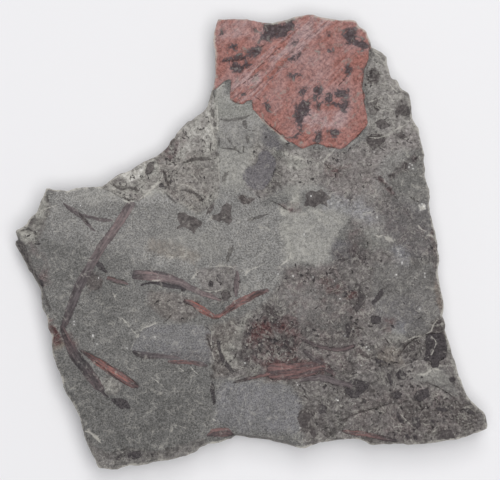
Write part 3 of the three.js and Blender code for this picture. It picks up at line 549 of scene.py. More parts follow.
# Kinds of ground on the bed: how strong, how soft its edge is in pixels, and its outline
GROUNDS = {
    "pale": [
        (0.38, 8, STANDING_LAYERS["pale hump"]["outline"]),
        (0.7, 10, [(104, 186), (128, 172), (150, 160), (172, 140), (190, 121), (208, 108), (214, 92),
                    (222, 86), (230, 100), (219, 118), (218, 150), (220, 190), (212, 205), (196, 214),
                    (180, 204), (166, 193), (146, 196), (128, 200), (110, 192)]),
        (0.45, 8, [(216, 96), (232, 102), (250, 104), (262, 122), (262, 150), (252, 165), (240, 190),
                   (222, 190), (218, 150)]),
        (0.8, 4, [(16, 231), (24, 227), (30, 229), (37, 214), (43, 199), (48, 204), (42, 222), (36, 240),
                  (26, 242), (18, 238)]),
        (0.8, 4, [(102, 384), (106, 378), (114, 378), (120, 384), (116, 392), (108, 392)]),
        (0.8, 4, [(284, 158), (300, 158), (312, 166), (305, 170), (288, 168)]),
        (1.0, 4, [(281, 216), (291, 212), (298, 206), (302, 196), (297, 189), (294, 196), (288, 205),
                  (280, 210)]),
        (0.6, 8, [(280, 220), (290, 216), (294, 228), (292, 240), (297, 250), (293, 262), (284, 264),
                  (286, 250), (280, 236)]),
        (0.6, 5, [(250, 312), (255, 315), (247, 324), (244, 333), (244, 345), (237, 351), (228, 349),
                   (224, 343), (232, 340), (236, 332), (240, 322)]),
        (0.7, 5, [(222, 348), (232, 352), (238, 362), (232, 368), (224, 360)]),
        (0.4, 6, [(392, 326), (404, 334), (412, 342), (398, 346), (384, 336)]),
        (0.35, 5, [(412, 372), (436, 368), (450, 376), (452, 386), (430, 384), (414, 380)]),
        (0.35, 12, [(280, 150), (312, 150), (322, 165), (315, 185), (300, 200), (284, 196), (276, 180)]),
        (0.25, 10, [(70, 190), (104, 188), (112, 196), (100, 206), (72, 200)]),
        (0.2, 14, [(165, 232), (215, 228), (225, 250), (200, 262), (165, 255)]),
        (0.25, 10, [(360, 228), (386, 228), (392, 246), (364, 246)]),
        (0.3, 8, [(368, 50), (384, 54), (388, 80), (410, 96), (412, 118), (396, 130), (370, 138),
                  (366, 110), (364, 80)]),
        # painted light along the right rim, where its edge is lit
        (0.6, 3, [(446, 334), (450, 345), (455, 360), (460, 374), (463, 385), (459, 384), (453, 366),
                  (447, 345)]),
    ],
    "green": [
        (0.5, 8, [(272, 148), (290, 150), (288, 160), (274, 158)]),
        (0.5, 10, [(362, 228), (384, 230), (384, 246), (364, 248)]),
        (0.5, 12, [(216, 96), (250, 104), (258, 118), (218, 118)]),
        (0.2, 12, [(384, 150), (420, 150), (430, 196), (420, 208), (404, 198), (386, 176)]),
    ],
    "purple": [
        (0.6, 6, [(259, 129), (265, 128), (272, 134), (283, 143), (284, 148), (276, 150), (268, 149),
                  (262, 143)]),
        (0.3, 12, [(385, 204), (430, 200), (438, 256), (402, 258), (384, 240)]),
        (0.3, 10, [(218, 120), (258, 118), (262, 128), (250, 150), (219, 150)]),
        (0.5, 8, [(333, 240), (350, 240), (352, 264), (333, 264)]),
        (0.3, 12, [(370, 300), (420, 300), (424, 330), (380, 330)]),
    ],
    "cool": [
        (0.5, 4, [(131, 350), (138, 334), (150, 325), (172, 323), (208, 326), (213, 350), (214, 364),
                  (190, 362), (150, 357)]),
        (0.6, 8, [(218, 384), (250, 382), (290, 386), (304, 404), (298, 432), (240, 432), (214, 420)]),
    ],
    "brown": [
        (1.0, 10, [(250, 322), (270, 316), (296, 318), (304, 340), (300, 356), (278, 364), (252, 360),
                   (244, 345)]),
        (0.35, 12, [(280, 268), (336, 266), (346, 284), (340, 318), (310, 330), (284, 312)]),
        (1.0, 5, [(156, 160), (164, 150), (171, 141), (177, 134), (186, 131), (188, 142), (178, 152),
                  (172, 160), (160, 163)]),
        (0.45, 6, [(162, 168), (168, 170), (174, 184), (180, 198), (176, 202), (168, 192), (160, 184)]),
        (0.3, 8, [(160, 164), (176, 158), (210, 164), (214, 190), (196, 210), (168, 192)]),
        (0.4, 6, [(184, 150), (196, 146), (204, 152), (196, 162), (186, 164)]),
        (0.3, 6, [(348, 222), (364, 222), (372, 240), (368, 262), (352, 264), (345, 240)]),
        (0.6, 5, [(278, 203), (302, 204), (304, 212), (290, 212)]),
        (0.35, 14, [(320, 300), (360, 296), (368, 320), (356, 345), (320, 345), (306, 330)]),
        (1.0, 3, [(376, 177), (381, 176), (393, 190), (397, 196), (391, 195), (380, 185)]),
        (0.2, 10, [(352, 190), (372, 180), (392, 196), (416, 216), (434, 240), (430, 256), (396, 244),
                   (372, 220)]),
        (0.3, 16, [(300, 340), (360, 340), (372, 362), (345, 376), (310, 360)]),
        (0.6, 3, [(433, 228), (438, 244), (439, 262), (438, 280), (443, 300), (441, 316), (436, 300),
                  (434, 260), (430, 236)]),
        (0.3, 14, [(360, 395), (430, 385), (470, 410), (460, 435), (400, 440), (350, 430)]),
        (0.25, 14, [(330, 165), (372, 160), (380, 190), (350, 204), (326, 196)]),
        (0.6, 5, [(207, 334), (216, 338), (218, 350), (210, 348)]),
        (0.7, 5, [(31, 270), (40, 266), (42, 272), (34, 274)]),
        (0.5, 8, [(30, 245), (42, 250), (52, 285), (44, 290), (34, 265)]),
    ],
    "tan": [
        (0.2, 6, [(150, 290), (200, 298), (202, 312), (184, 322), (164, 318), (148, 304)]),
        (0.5, 8, [(378, 346), (402, 348), (404, 366), (380, 364)]),
        (0.7, 4, [(52, 342), (60, 340), (66, 344), (62, 350), (53, 350)]),
        (0.4, 8, [(150, 238), (176, 244), (200, 256), (196, 264), (170, 258), (148, 250)]),
        (0.2, 6, [(210, 326), (236, 318), (240, 336), (226, 350), (230, 372), (214, 378), (210, 350)]),
        # a yellowish band along the right rim: painted light on its lit edge
        (0.5, 3, [(436, 280), (443, 302), (442, 318), (438, 306), (434, 284)]),
    ],
    "blue": [
        (0.45, 10, [(322, 199), (340, 194), (356, 198), (370, 206), (380, 220), (366, 222), (340, 212),
                    (324, 208)]),
        (0.4, 8, [(392, 248), (404, 244), (410, 254), (408, 266), (398, 266)]),
        (0.4, 6, [(391, 324), (402, 320), (410, 326), (404, 334), (394, 334)]),
    ],
    "soot": [
        (1.2, 3, [(236, 197), (243, 195), (249, 197), (256, 198), (253, 202), (247, 205), (240, 202)]),
        (1.0, 4, [(366, 137), (374, 134), (388, 135), (384, 142), (376, 148), (368, 146)]),
        (1.0, 3, [(396, 133), (402, 132), (408, 137), (400, 139)]),
        (1.0, 3, [(366, 70), (376, 68), (381, 74), (376, 84), (368, 84)]),
        (1.0, 3, [(369, 100), (378, 98), (380, 108), (374, 116), (368, 112)]),
        (1.0, 3, [(394, 104), (401, 100), (408, 104), (404, 112), (397, 112)]),
        (1.0, 4, [(207, 334), (213, 337), (216, 346), (213, 351), (208, 344)]),
        (1.0, 4, [(431, 322), (440, 316), (445, 326), (446, 336), (436, 336), (430, 333)]),
        (0.8, 6, [(300, 409), (310, 406), (316, 414), (318, 426), (310, 434), (300, 430)]),
        (0.8, 8, [(336, 330), (350, 326), (356, 338), (346, 346), (336, 342)]),
        (0.8, 6, [(405, 405), (420, 402), (434, 410), (430, 424), (414, 426), (404, 418)]),
        (0.8, 6, [(448, 400), (464, 402), (476, 414), (482, 424), (468, 430), (450, 418)]),
    ],
    "sooty": [
        (1.0, 8, [(160, 196), (238, 196), (240, 240), (166, 242)]),
        (0.7, 4, [(140, 158), (158, 156), (158, 178), (142, 180)]),
        (0.6, 6, [(292, 402), (320, 402), (320, 442), (292, 438)]),
        (0.5, 6, [(430, 426), (460, 426), (460, 444), (430, 444)]),
        (0.4, 6, [(352, 280), (366, 280), (370, 314), (350, 314)]),
        (0.7, 6, [(300, 56), (412, 56), (414, 152), (350, 160), (330, 210), (300, 212)]),
        (1.0, 2, [(82, 275), (97, 275), (106, 280), (104, 294), (82, 294)]),
        (0.7, 4, [(216, 286), (236, 286), (236, 306), (216, 306)]),
    ],
    # where the red plane is ruddy through and through, without the lilac bloom
    "ruddy": [
        (0.6, 8, [(352, 50), (372, 50), (368, 125), (350, 145), (330, 144), (346, 124), (352, 100)]),
        (0.55, 8, [(214, 44), (250, 36), (262, 48), (236, 66), (216, 84)]),
        (0.7, 8, [(232, 100), (262, 104), (290, 136), (300, 148), (266, 124)]),
        (0.7, 6, [(258, 66), (268, 58), (272, 66), (262, 78)]),
    ],
    "pink": [
        (0.4, 10, [(214, 18), (250, 18), (246, 34), (232, 40), (214, 40)]),
        (0.8, 8, [(305, 108), (330, 112), (352, 106), (356, 122), (336, 130), (312, 130), (303, 122)]),
        (0.5, 8, [(286, 40), (312, 16), (326, 18), (312, 40), (292, 58)]),
        (0.5, 6, [(236, 90), (250, 76), (264, 72), (262, 84), (248, 98), (238, 100)]),
    ],
    "white": [
        (0.75, 2, [(418, 204), (421, 206), (424, 203), (425, 209), (420, 211)]),
        (0.25, 8, [(176, 134), (200, 114), (212, 96), (214, 130), (204, 152), (180, 156)]),
        (1.8, 3, [(120, 176), (127, 170), (134, 166), (142, 161), (146, 165), (140, 171), (138, 178),
                  (131, 183), (127, 178)]),
    ],
    "rust": [
        (0.7, 5, [(48, 318), (52, 321), (58, 332), (62, 342), (56, 348), (50, 340), (48, 328)]),
        (0.55, 4, [(344, 291), (358, 291), (358, 298), (346, 300)]),
        (0.5, 8, [(383, 318), (394, 320), (392, 332), (384, 330)]),
        (0.5, 6, [(322, 278), (338, 280), (338, 294), (326, 292)]),
        (0.35, 8, [(325, 165), (348, 164), (346, 176), (326, 176)]),
        (0.5, 5, [(262, 362), (292, 358), (322, 360), (330, 372), (300, 380), (266, 380)]),
        (0.65, 8, [(252, 322), (276, 320), (296, 334), (292, 352), (262, 352), (250, 340)]),
        (0.4, 6, [(64, 330), (74, 336), (80, 350), (70, 350)]),
    ],
    "dark": [
        (0.9, 4, [(261, 304), (270, 305), (280, 313), (280, 322), (272, 323), (265, 313)]),
        (0.8, 4, [(245, 330), (250, 332), (246, 345), (250, 360), (244, 362), (240, 350)]),
        # painted shade on the broken left wall, which faces away from the light
        (0.7, 5, [(16, 242), (22, 241), (31, 262), (42, 284), (38, 288), (26, 264)]),
        (0.9, 2, [(28, 226), (31, 219), (35, 218), (34, 224), (31, 228)]),
        (0.55, 8, [(84, 272), (94, 270), (102, 278), (100, 289), (88, 290)]),
        (0.6, 6, [(255, 340), (285, 330), (300, 345), (280, 356), (260, 356)]),
        (0.5, 8, [(334, 252), (366, 246), (370, 258), (350, 266), (336, 264)]),
        (0.5, 6, [(352, 300), (362, 292), (364, 302), (356, 312)]),
        (0.45, 8, [(398, 342), (420, 336), (424, 350), (410, 360), (398, 356)]),
        (0.45, 6, [(428, 328), (440, 320), (446, 330), (446, 360), (438, 367), (428, 364), (424, 345)]),
        (0.5, 6, [(432, 430), (455, 428), (458, 439), (436, 441)]),
        (0.4, 10, [(404, 430), (420, 424), (424, 440), (400, 442)]),
        (0.9, 5, [(388, 175), (400, 165), (414, 154), (419, 158), (404, 172), (392, 180)]),
        (0.4, 8, [(430, 248), (437, 250), (437, 262), (430, 260)]),
        (0.5, 5, [(46, 188), (56, 189), (54, 192), (47, 191)]),
        (0.3, 10, [(165, 352), (205, 350), (212, 362), (180, 364)]),
    ],
    "flow": [
        (1.0, 10, [(230, 104), (252, 104), (282, 70), (306, 48), (334, 24), (318, 12), (290, 30), (266, 52),
                   (240, 74), (228, 84)]),
        (0.3, 20, [(215, 18), (372, 18), (368, 130), (303, 149), (250, 110), (214, 88)]),
    ],
    # brighter and dimmer parts of the bed, which hardly differ in colour: painted light and painted shade
    # where the bed faces the light more or less, with some real difference of tone
    "lighter": [
        (0.6, 14, [(46, 186), (110, 184), (150, 158), (200, 112), (214, 88), (216, 150), (208, 196),
                   (180, 206), (110, 206), (60, 206)]),
        (0.7, 10, [(214, 84), (230, 94), (262, 116), (262, 134), (217, 134)]),
        (0.37, 16, [(214, 88), (230, 98), (262, 130), (268, 160), (262, 200), (290, 214), (340, 206),
                    (346, 224), (330, 262), (290, 268), (262, 300), (225, 262), (190, 222), (216, 150)]),
        (0.5, 16, [(280, 220), (298, 204), (318, 210), (348, 212), (336, 238), (332, 260), (314, 267),
                   (300, 258), (286, 262), (292, 242)]),
        (0.32, 20, [(46, 203), (190, 205), (225, 262), (255, 300), (200, 290), (160, 270), (90, 244),
                    (48, 236)]),
        (0.1, 20, [(120, 270), (200, 262), (210, 340), (120, 340)]),
        (0.42, 14, [(366, 50), (410, 96), (420, 140), (394, 166), (384, 200), (340, 204), (300, 190),
                    (282, 180), (285, 146), (345, 150), (366, 130)]),
        (0.4, 10, [(322, 198), (356, 198), (384, 218), (392, 240), (370, 240), (350, 222)]),
        (0.3, 10, [(284, 272), (316, 270), (320, 310), (300, 322), (282, 300)]),
        (0.9, 8, [(156, 152), (176, 130), (200, 112), (214, 92), (216, 130), (208, 154), (176, 158)]),
    ],
    "deeper": [
        (0.5, 20, [(50, 340), (90, 382), (150, 384), (206, 396), (208, 440), (120, 466), (84, 440)]),
        (0.15, 24, [(300, 300), (420, 330), (492, 425), (380, 446), (305, 440), (300, 380), (250, 360),
                   (250, 320)]),
        (0.3, 8, [(386, 186), (400, 202), (418, 216), (434, 240), (438, 262), (404, 264), (386, 244),
                  (374, 230), (378, 206)]),
        (0.6, 8, [(332, 240), (342, 224), (356, 218), (368, 232), (372, 260), (336, 266)]),
        (1.0, 5, [(12, 232), (26, 224), (34, 212), (44, 200), (50, 210), (42, 228), (36, 244), (14, 244)]),
    ],
}

# White grains of quartz: the middle and the radius, in pixels
WHITE_GRAINS = [
    ((80.5, 205.5), 1.0), ((311, 196), 1.4), ((377, 217), 1.0), ((293, 276), 1.3), ((278, 274), 1.0),
    ((313, 277), 0.9), ((74, 321.5), 1.1), ((74, 324.5), 0.9), ((340, 298.5), 1.1), ((297.5, 385), 1.0),
    ((338, 400.5), 1.3), ((336, 399.5), 1.0), ((300, 428), 1.0), ((366.5, 347), 1.4), ((369, 350), 1.2),
    ((412, 165), 1.1), ((396, 274.5), 0.9), ((425, 273.5), 0.9), ((425, 277), 0.9), ((304, 234), 0.8),
    ((409, 167), 1.2), ((413, 168.5), 1.2), ((410, 163.5), 0.9),
    ((98.5, 278), 0.9), ((245, 363), 1.3), ((361, 365.5), 1.0), ((420, 309), 0.9), ((334.5, 281), 0.9),
    ((422, 204), 1.3), ((425, 206), 1.0), ((353, 329.5), 0.9), ((345, 336), 0.8), ((398, 251.5), 1.0),
    ((401, 255), 1.0), ((93, 336.5), 0.9), ((97, 344), 0.9), ((127, 348), 0.9), ((155, 337), 0.9),
    ((402, 262), 0.9), ((348, 200), 0.8), ((338, 202), 0.8), ((331, 204), 0.8),
]

# Loose crumbs and scraps of plant on the splintery ground: how many, on which of the stone's fields, and
# the smallest and the largest, by their three sides in metres
SCATTERED = {
    "crumb": dict(cover="crumb_cover", per_square_metre=700000.0, carbon=0.0, corners=5, taper=0.3,
                  smallest=(0.00028, 0.00025, 0.00006), largest=(0.00100, 0.00080, 0.00022)),
    "scrap": dict(cover="scrap_cover", per_square_metre=450000.0, carbon=1.0, corners=5, taper=0.42,
                  smallest=(0.00050, 0.00030, 0.00005), largest=(0.00240, 0.00110, 0.00012)),
}

FLOW_ANGLE = 43.0  # of the red plane's streaks, from the X axis, in degrees
LIGHTS = {
    "window": dict(place=(0.1, 0.56, 1.1), size=0.6, power=3.8),
    "ceiling": dict(place=(0.12, -0.05, 1.4), size=1.0, power=13.9),
}
LAMP_COLOUR = (1.0, 0.995, 0.99)
ROOM_LIGHT = 0.24
ROOM_COLOUR = "#ecebf2"
LENS = 200.0
SENSOR = 36.0
TABLE_REACH = 1.5  # from its middle to each edge, in metres

# The stone's broken side, from its top edge down, in millimetres
LAYER_THICKNESS = 1.1
LAYER_BEND = 0.5
LAYER_SETBACK = 0.75  # the most that one layer stands back
SPLINTER_SETBACK = 0.18
FOOT_HEIGHT = 2.2
FOOT_SETBACK = 1.5
RIM_RADIUS = 60.0  # near enough, to turn an angle about the middle into a length
SIDE_ROWS = 15

# The underside, in millimetres: where layers came away from it, and how rough the rest is
LOST_LAYERS = 0.55
UNDER_GRAIN = 0.12

# Distances between vertices: in pixels along the rim, over the bed and along marks, in mm underneath
EDGE_SPACING = 1.65
BED_SPACING = 1.8
BED_MARGIN = 0.8  # the least between the rim and the next vertex
MARK_SPACING = 1.2
MARK_ROWS = (-0.8, 0.0, 0.8)  # to the side of a mark's line
ROW_CELL = 0.9  # holds one vertex of these rows at most
UNDER_SPACING = 2.6
UNDER_MARGIN = 0.6

# In pixels
RAGGED = 1.1  # how far a broken edge strays from its outline
GENTLE = 0.45  # and the edge of a mark
FAR = 12.0  # the furthest that a distance to a mark is followed
LINE_EDGE = 0.8  # how softly a thin line fades out
SMALL_TEETH, LARGE_TEETH = 0.55, 0.35  # of the rim


def as_points(pixels):
    return np.array(pixels, float)


def to_plate(pixels):
    """Photo pixels to millimetres on the plate."""
    return (pixels - MIDDLE) * np.array([MM_PER_PIXEL, -MM_PER_PIXEL])


def smooth_step(value, start, end):
    t = np.clip((value - start) / (end - start), 0, 1)
    return t * t * (3 - 2 * t)


def scatter(ix, iy, seed):
    """A fixed pseudo-random number from 0 to 1 for each whole-numbered place."""
    mixed = ix.astype(np.int64) * 374761393 + iy.astype(np.int64) * 668265263 + seed * 974634777
    mixed = mixed & 0x7FFFFFFF
    mixed = ((mixed ^ (mixed >> 13)) * 1274126177) & 0x7FFFFFFF
    return ((mixed ^ (mixed >> 16)) & 0xFFFFFF) / 0xFFFFFF


def ripple(places, size, seed, octaves=3):
    """Smooth noise from -1 to 1, with its largest bumps of the given size in millimetres."""
    total = np.zeros(len(places))
    weight = 1.0
    reach = 0.0
    for octave in range(octaves):
        scaled = places / (size / 2**octave) + 37.7 * seed
        cell = np.floor(scaled)
        part = scaled - cell
        part = part * part * (3 - 2 * part)
        ix, iy = cell[:, 0], cell[:, 1]
        a, b = scatter(ix, iy, seed + octave), scatter(ix + 1, iy, seed + octave)
        c, d = scatter(ix, iy + 1, seed + octave), scatter(ix + 1, iy + 1, seed + octave)
        lower = a + (b - a) * part[:, 0]
        upper = c + (d - c) * part[:, 0]
        total += weight * (2 * (lower + (upper - lower) * part[:, 1]) - 1)
        reach += weight
        weight /= 2
    return total / reach


def splinters(places, size, seed, slope=0.3):
    """Angular broken ground from about -1 to 1: tilted facets, each the highest of its neighbours there."""
    scaled = places / size
    cell = np.floor(scaled)
    highest = np.full(len(places), -9.0)
    for dx in (-1, 0, 1):
        for dy in (-1, 0, 1):
            ix, iy = cell[:, 0] + dx, cell[:, 1] + dy
            away_x = scaled[:, 0] - ix - scatter(ix, iy, seed)
            away_y = scaled[:, 1] - iy - scatter(ix, iy, seed + 1)
            tilt_x = 2 * scatter(ix, iy, seed + 2) - 1
            tilt_y = 2 * scatter(ix, iy, seed + 3) - 1
            level = scatter(ix, iy, seed + 4)
            facet = level + slope * 2 * (tilt_x * away_x + tilt_y * away_y) - 1.6 * np.hypot(away_x, away_y)
            highest = np.maximum(highest, facet)
    return 1.6 * highest


def thin_ledges(places, size, seed, count):
    """Low steps with curved edges, as thin layers of stone break away: from about -1 to 1."""
    level = ripple(places, size, seed, 4) * count
    whole = np.floor(level)
    return (whole + smooth_step(level - whole, 0.3, 0.7)) / count


def near(places, line, reach):
    """Which places are within reach of a line's box."""
    lowest, highest = line.min(axis=0) - reach, line.max(axis=0) + reach
    return np.flatnonzero(((places > lowest) & (places < highest)).all(axis=1))


def line_distance(places, line):
    """Distance to a line, the length along it to the nearest point, and the side (+ is left)."""
    nearest = np.full(len(places), 1e9)
    along = np.zeros(len(places))
    side = np.ones(len(places))
    walked = 0.0
    for start, end in zip(line[:-1], line[1:]):
        reach = end - start
        length = math.hypot(*reach)
        if length == 0:
            continue
        away = places - start
        t = np.clip(away @ reach / length**2, 0, 1)
        distance = np.hypot(*(away - t[:, None] * reach).T)
        closer = distance < nearest
        nearest[closer] = distance[closer]
        along[closer] = walked + t[closer] * length
        side[closer] = np.sign(reach[0] * away[closer, 1] - reach[1] * away[closer, 0])
        walked += length
    return nearest, along, side


def is_inside(places, outline):
    inside = np.zeros(len(places), bool)
    for a, b in zip(outline, np.roll(outline, -1, axis=0)):
        crosses = (a[1] > places[:, 1]) != (b[1] > places[:, 1])
        rise = b[1] - a[1] if b[1] != a[1] else 1.0
        inside ^= crosses & (places[:, 0] < a[0] + (b[0] - a[0]) * (places[:, 1] - a[1]) / rise)
    return inside


def depth_inside(places, outline, reach=FAR):
    """How deep each place lies within an outline, in pixels: minus outside, and -reach where far off."""
    outline = as_points(outline)
    depth = np.full(len(places), -reach)
    chosen = near(places, outline, reach)
    if len(chosen):
        distance, _, _ = line_distance(places[chosen], np.vstack([outline, outline[:1]]))
        sign = np.where(is_inside(places[chosen], outline), 1, -1)
        depth[chosen] = np.maximum(sign * distance, -reach)
    return depth


def deepest(places, outlines, reach=FAR):
    return np.max([depth_inside(places, outline, reach) for outline in outlines], axis=0)


def line_nearness(places, lines):
    """1 on a line, falling to 0 at its half width. Each line is its half width and its points."""
    result = np.zeros(len(places))
    for half_width, line in lines:
        line = as_points(line)
        chosen = near(places, line, half_width + 1)
        distance, along, _ = line_distance(places[chosen], line)
        length = np.hypot(*np.diff(line, axis=0).T).sum()
        taper = np.minimum(1, 0.35 + 3 * np.minimum(along, length - along) / length)
        within = (half_width * taper - distance) / LINE_EDGE
        result[chosen] = np.maximum(result[chosen], np.clip(within, 0, 1))
    return result


def resample(line, spacing, closed=False):
    line = as_points(line)
    if closed:
        line = np.vstack([line, line[:1]])
    lengths = np.hypot(*np.diff(line, axis=0).T)
    walked = np.concatenate([[0], np.cumsum(lengths)])
    count = max(2, int(round(walked[-1] / spacing)) + 1)
    marks = np.linspace(0, walked[-1], count)
    if closed:
        marks = marks[:-1]
    return np.stack([np.interp(marks, walked, line[:, i]) for i in (0, 1)], axis=1)


def sideways(line, closed=False):
    """Unit vectors to the left of a line's direction, at each of its points."""
    if closed:
        ahead = np.roll(line, -2, axis=0) - np.roll(line, 2, axis=0)
    else:
        ahead = np.gradient(line, axis=0)
    ahead /= np.hypot(*ahead.T)[:, None]
    return np.stack([-ahead[:, 1], ahead[:, 0]], axis=1)


def ragged_rim():
    """The outline with the small teeth of a broken edge, in pixels."""
    rim = resample(OUTLINE, EDGE_SPACING, closed=True)
    on_plate = to_plate(rim)
    teeth = SMALL_TEETH * ripple(on_plate, *NOISE["small teeth"])
    teeth += LARGE_TEETH * ripple(on_plate, *NOISE["large teeth"])
    return rim + sideways(rim, closed=True) * teeth[:, None]


def mark_lines():
    """Every line on the bed that needs vertices of its own to stay crisp."""
    lines = [line for _, line in [*DARK_LINES, *PALE_LINES, *RED_VEINS]]
    for scar in SCARS.values():
        lines.append(scar["lip"])
    for layer in STANDING_LAYERS.values():
        lines.append(layer["outline"])
    for stem in STEMS.values():
        middle = as_points(stem["line"])
        half = sideways(middle) * np.array(stem["width"])[:, None] / 2
        lines += [middle + half, middle - half, middle]
    lines += [*FLAKES.values(), *SMUDGES, *PURPLE_FILMS]
    return lines


def grain_points():
    """A vertex on each white grain and six around it."""
    turn = np.arange(6) * math.pi / 3
    star = np.vstack([[0, 0], np.stack([np.cos(turn), np.sin(turn)], axis=1)])
    return np.vstack([as_points(centre) + 0.9 * radius * star for centre, radius in WHITE_GRAINS])


def bed_points(rim):
    """Vertices of the upper face: rows on both sides of each mark, then a loose mesh between them."""
    random = np.random.default_rng(SEED)
    rows = []
    for line in mark_lines():
        path = resample(line, MARK_SPACING)
        aside = sideways(path)
        for offset in MARK_ROWS:
            rows.append(path + aside * offset + random.uniform(-0.1, 0.1, path.shape))
    rows = np.vstack([grain_points(), *rows])
    keys, first = np.unique(np.floor(rows / ROW_CELL), axis=0, return_index=True)
    rows = rows[first]
    taken = set(map(tuple, keys.astype(int)))
    xs = np.arange(LEFT_TIP, RIGHT_TIP, BED_SPACING)
    ys = np.arange(TOP_TIP, BOTTOM_TIP, BED_SPACING * math.sqrt(3) / 2)
    grid_x, grid_y = np.meshgrid(xs, ys)
    grid_x[1::2] += BED_SPACING / 2
    loose = np.stack([grid_x.ravel(), grid_y.ravel()], axis=1)
    loose += random.uniform(-0.3, 0.3, loose.shape) * BED_SPACING
    cells = np.floor(loose / ROW_CELL).astype(int)
    free = []
    for i, (cx, cy) in enumerate(cells):
        crowded = any((cx + dx, cy + dy) in taken for dx in (-1, 0, 1) for dy in (-1, 0, 1))
        if not crowded:
            free.append(i)
    places = np.vstack([rows, loose[free]])
    places = places[is_inside(places, rim)]
    from_rim, _, _ = line_distance(places, np.vstack([rim, rim[:1]]))
    return places[from_rim > BED_MARGIN]


def strayed(places, reach):
    """The places moved about by up to so many pixels, so that an edge drawn with them looks broken."""
    on_plate = to_plate(places)
    stray = [ripple(on_plate, *NOISE[name]) for name in ("stray x", "stray y")]
    return places + reach * np.stack(stray, axis=1)


def read_stone(places):
    """What the stone is at each place on its upper face: a dictionary of fields, by name."""
    on_plate = to_plate(places)
    ragged = strayed(places, RAGGED)
    gentle = strayed(places, GENTLE)
    stone = {}
    hackly = smooth_step(depth_inside(ragged, HACKLY_GROUND), -4, 5)
    hackly *= 0.35 + 0.65 * smooth_step(deepest(places, CLEAN_BEDS), 3, -5)
    hackly = np.maximum(hackly, 0.8 * smooth_step(deepest(ragged, ROUGH_PATCHES), -3, 2))
    for scar in SCARS.values():
        within = smooth_step(depth_inside(ragged, scar["lip"] + scar["beyond"]), -0.5, 1.5)
        hackly = hackly * (1 - within) + scar["hackly"] * within
    stone["hackly"] = hackly
    stone["red"] = depth_inside(gentle, SCARS["red corner"]["lip"] + SCARS["red corner"]["beyond"])
    stone["flake"] = deepest(gentle, FLAKES.values())
    stone["film"] = deepest(gentle, PURPLE_FILMS)
    stone["smudge"] = deepest(gentle, SMUDGES)
    stone["crack_and_step_shade"] = line_nearness(gentle, DARK_LINES)
    stone["vein"] = line_nearness(gentle, RED_VEINS)
    rim = as_points(OUTLINE)
    stone["from_rim"], _, _ = line_distance(places, np.vstack([rim, rim[:1]]))
    # a pale band along the rim where it is worn: partly worn stone, partly painted light on the lit edge
    worn = smooth_step(stone["from_rim"], 2.4, 0.4)
    worn *= smooth_step(ripple(on_plate, *NOISE["worn rim"]), -0.4, 0.3)
    stone["bruise_and_edge_light"] = np.maximum(line_nearness(gentle, PALE_LINES), 0.9 * worn)
    stone["grain"] = np.zeros(len(places))
    for centre, radius in WHITE_GRAINS:
        away = np.hypot(*(places - as_points(centre)).T)
        stone["grain"] = np.maximum(stone["grain"], smooth_step(away, radius, 0.3 * radius))
    for kind, areas in GROUNDS.items():
        stone[kind] = np.zeros(len(places))
        for amount, softness, outline in areas:
            depth = depth_inside(strayed(places, softness / 2), outline, 2 * FAR)
            stone[kind] = np.maximum(stone[kind], amount * smooth_step(depth, -softness / 2, softness / 2))
    read_stems(gentle, stone)
    clear = smooth_step(np.max([stone["stem"], stone["flake"], stone["film"], stone["red"]], axis=0), 1, -1)
    clear *= smooth_step(stone["from_rim"], 4, 7)
    patchy = smooth_step(ripple(on_plate, *NOISE["crumb patches"]), -0.5, 0.5)
    littered = hackly**2 * clear
    unstained = 1 - 0.6 * np.minimum(stone["brown"], 1)
    stone["crumb_cover"] = littered * (0.25 + 0.75 * patchy) * unstained
    stone["scrap_cover"] = littered * (1 - 0.8 * patchy) * (0.4 + stone["brown"])
    return stone


def read_stems(places, stone):
    """Adds the nearest stem's depth in pixels, its place across and along, and how red and dark it is."""
    stone["stem"] = np.full(len(places), -FAR)
    for name in ("across", "along", "stem_red", "stem_dark"):
        stone[name] = np.zeros(len(places))
    for stem in STEMS.values():
        line = as_points(stem["line"])
        chosen = near(places, line, FAR)
        distance, along, side = line_distance(places[chosen], line)
        walked = np.concatenate([[0], np.cumsum(np.hypot(*np.diff(line, axis=0).T))])
        depth = np.interp(along, walked, stem["width"]) / 2 - distance
        for end, before in ((line[0], line[1]), (line[-1], line[-2])):
            outwards = (end - before) / np.hypot(*(end - before))
            depth = np.minimum(depth, (end - places[chosen]) @ outwards + 0.5)
        deeper = depth > stone["stem"][chosen]
        kept = chosen[deeper]
        stone["stem"][kept] = depth[deeper]
        stone["across"][kept] = (side * distance)[deeper]
        stone["along"][kept] = along[deeper]
        for name in ("red", "dark"):
            steps = np.linspace(0, walked[-1], len(stem[name]))
            stone["stem_" + name][kept] = np.interp(along[deeper], steps, stem[name])


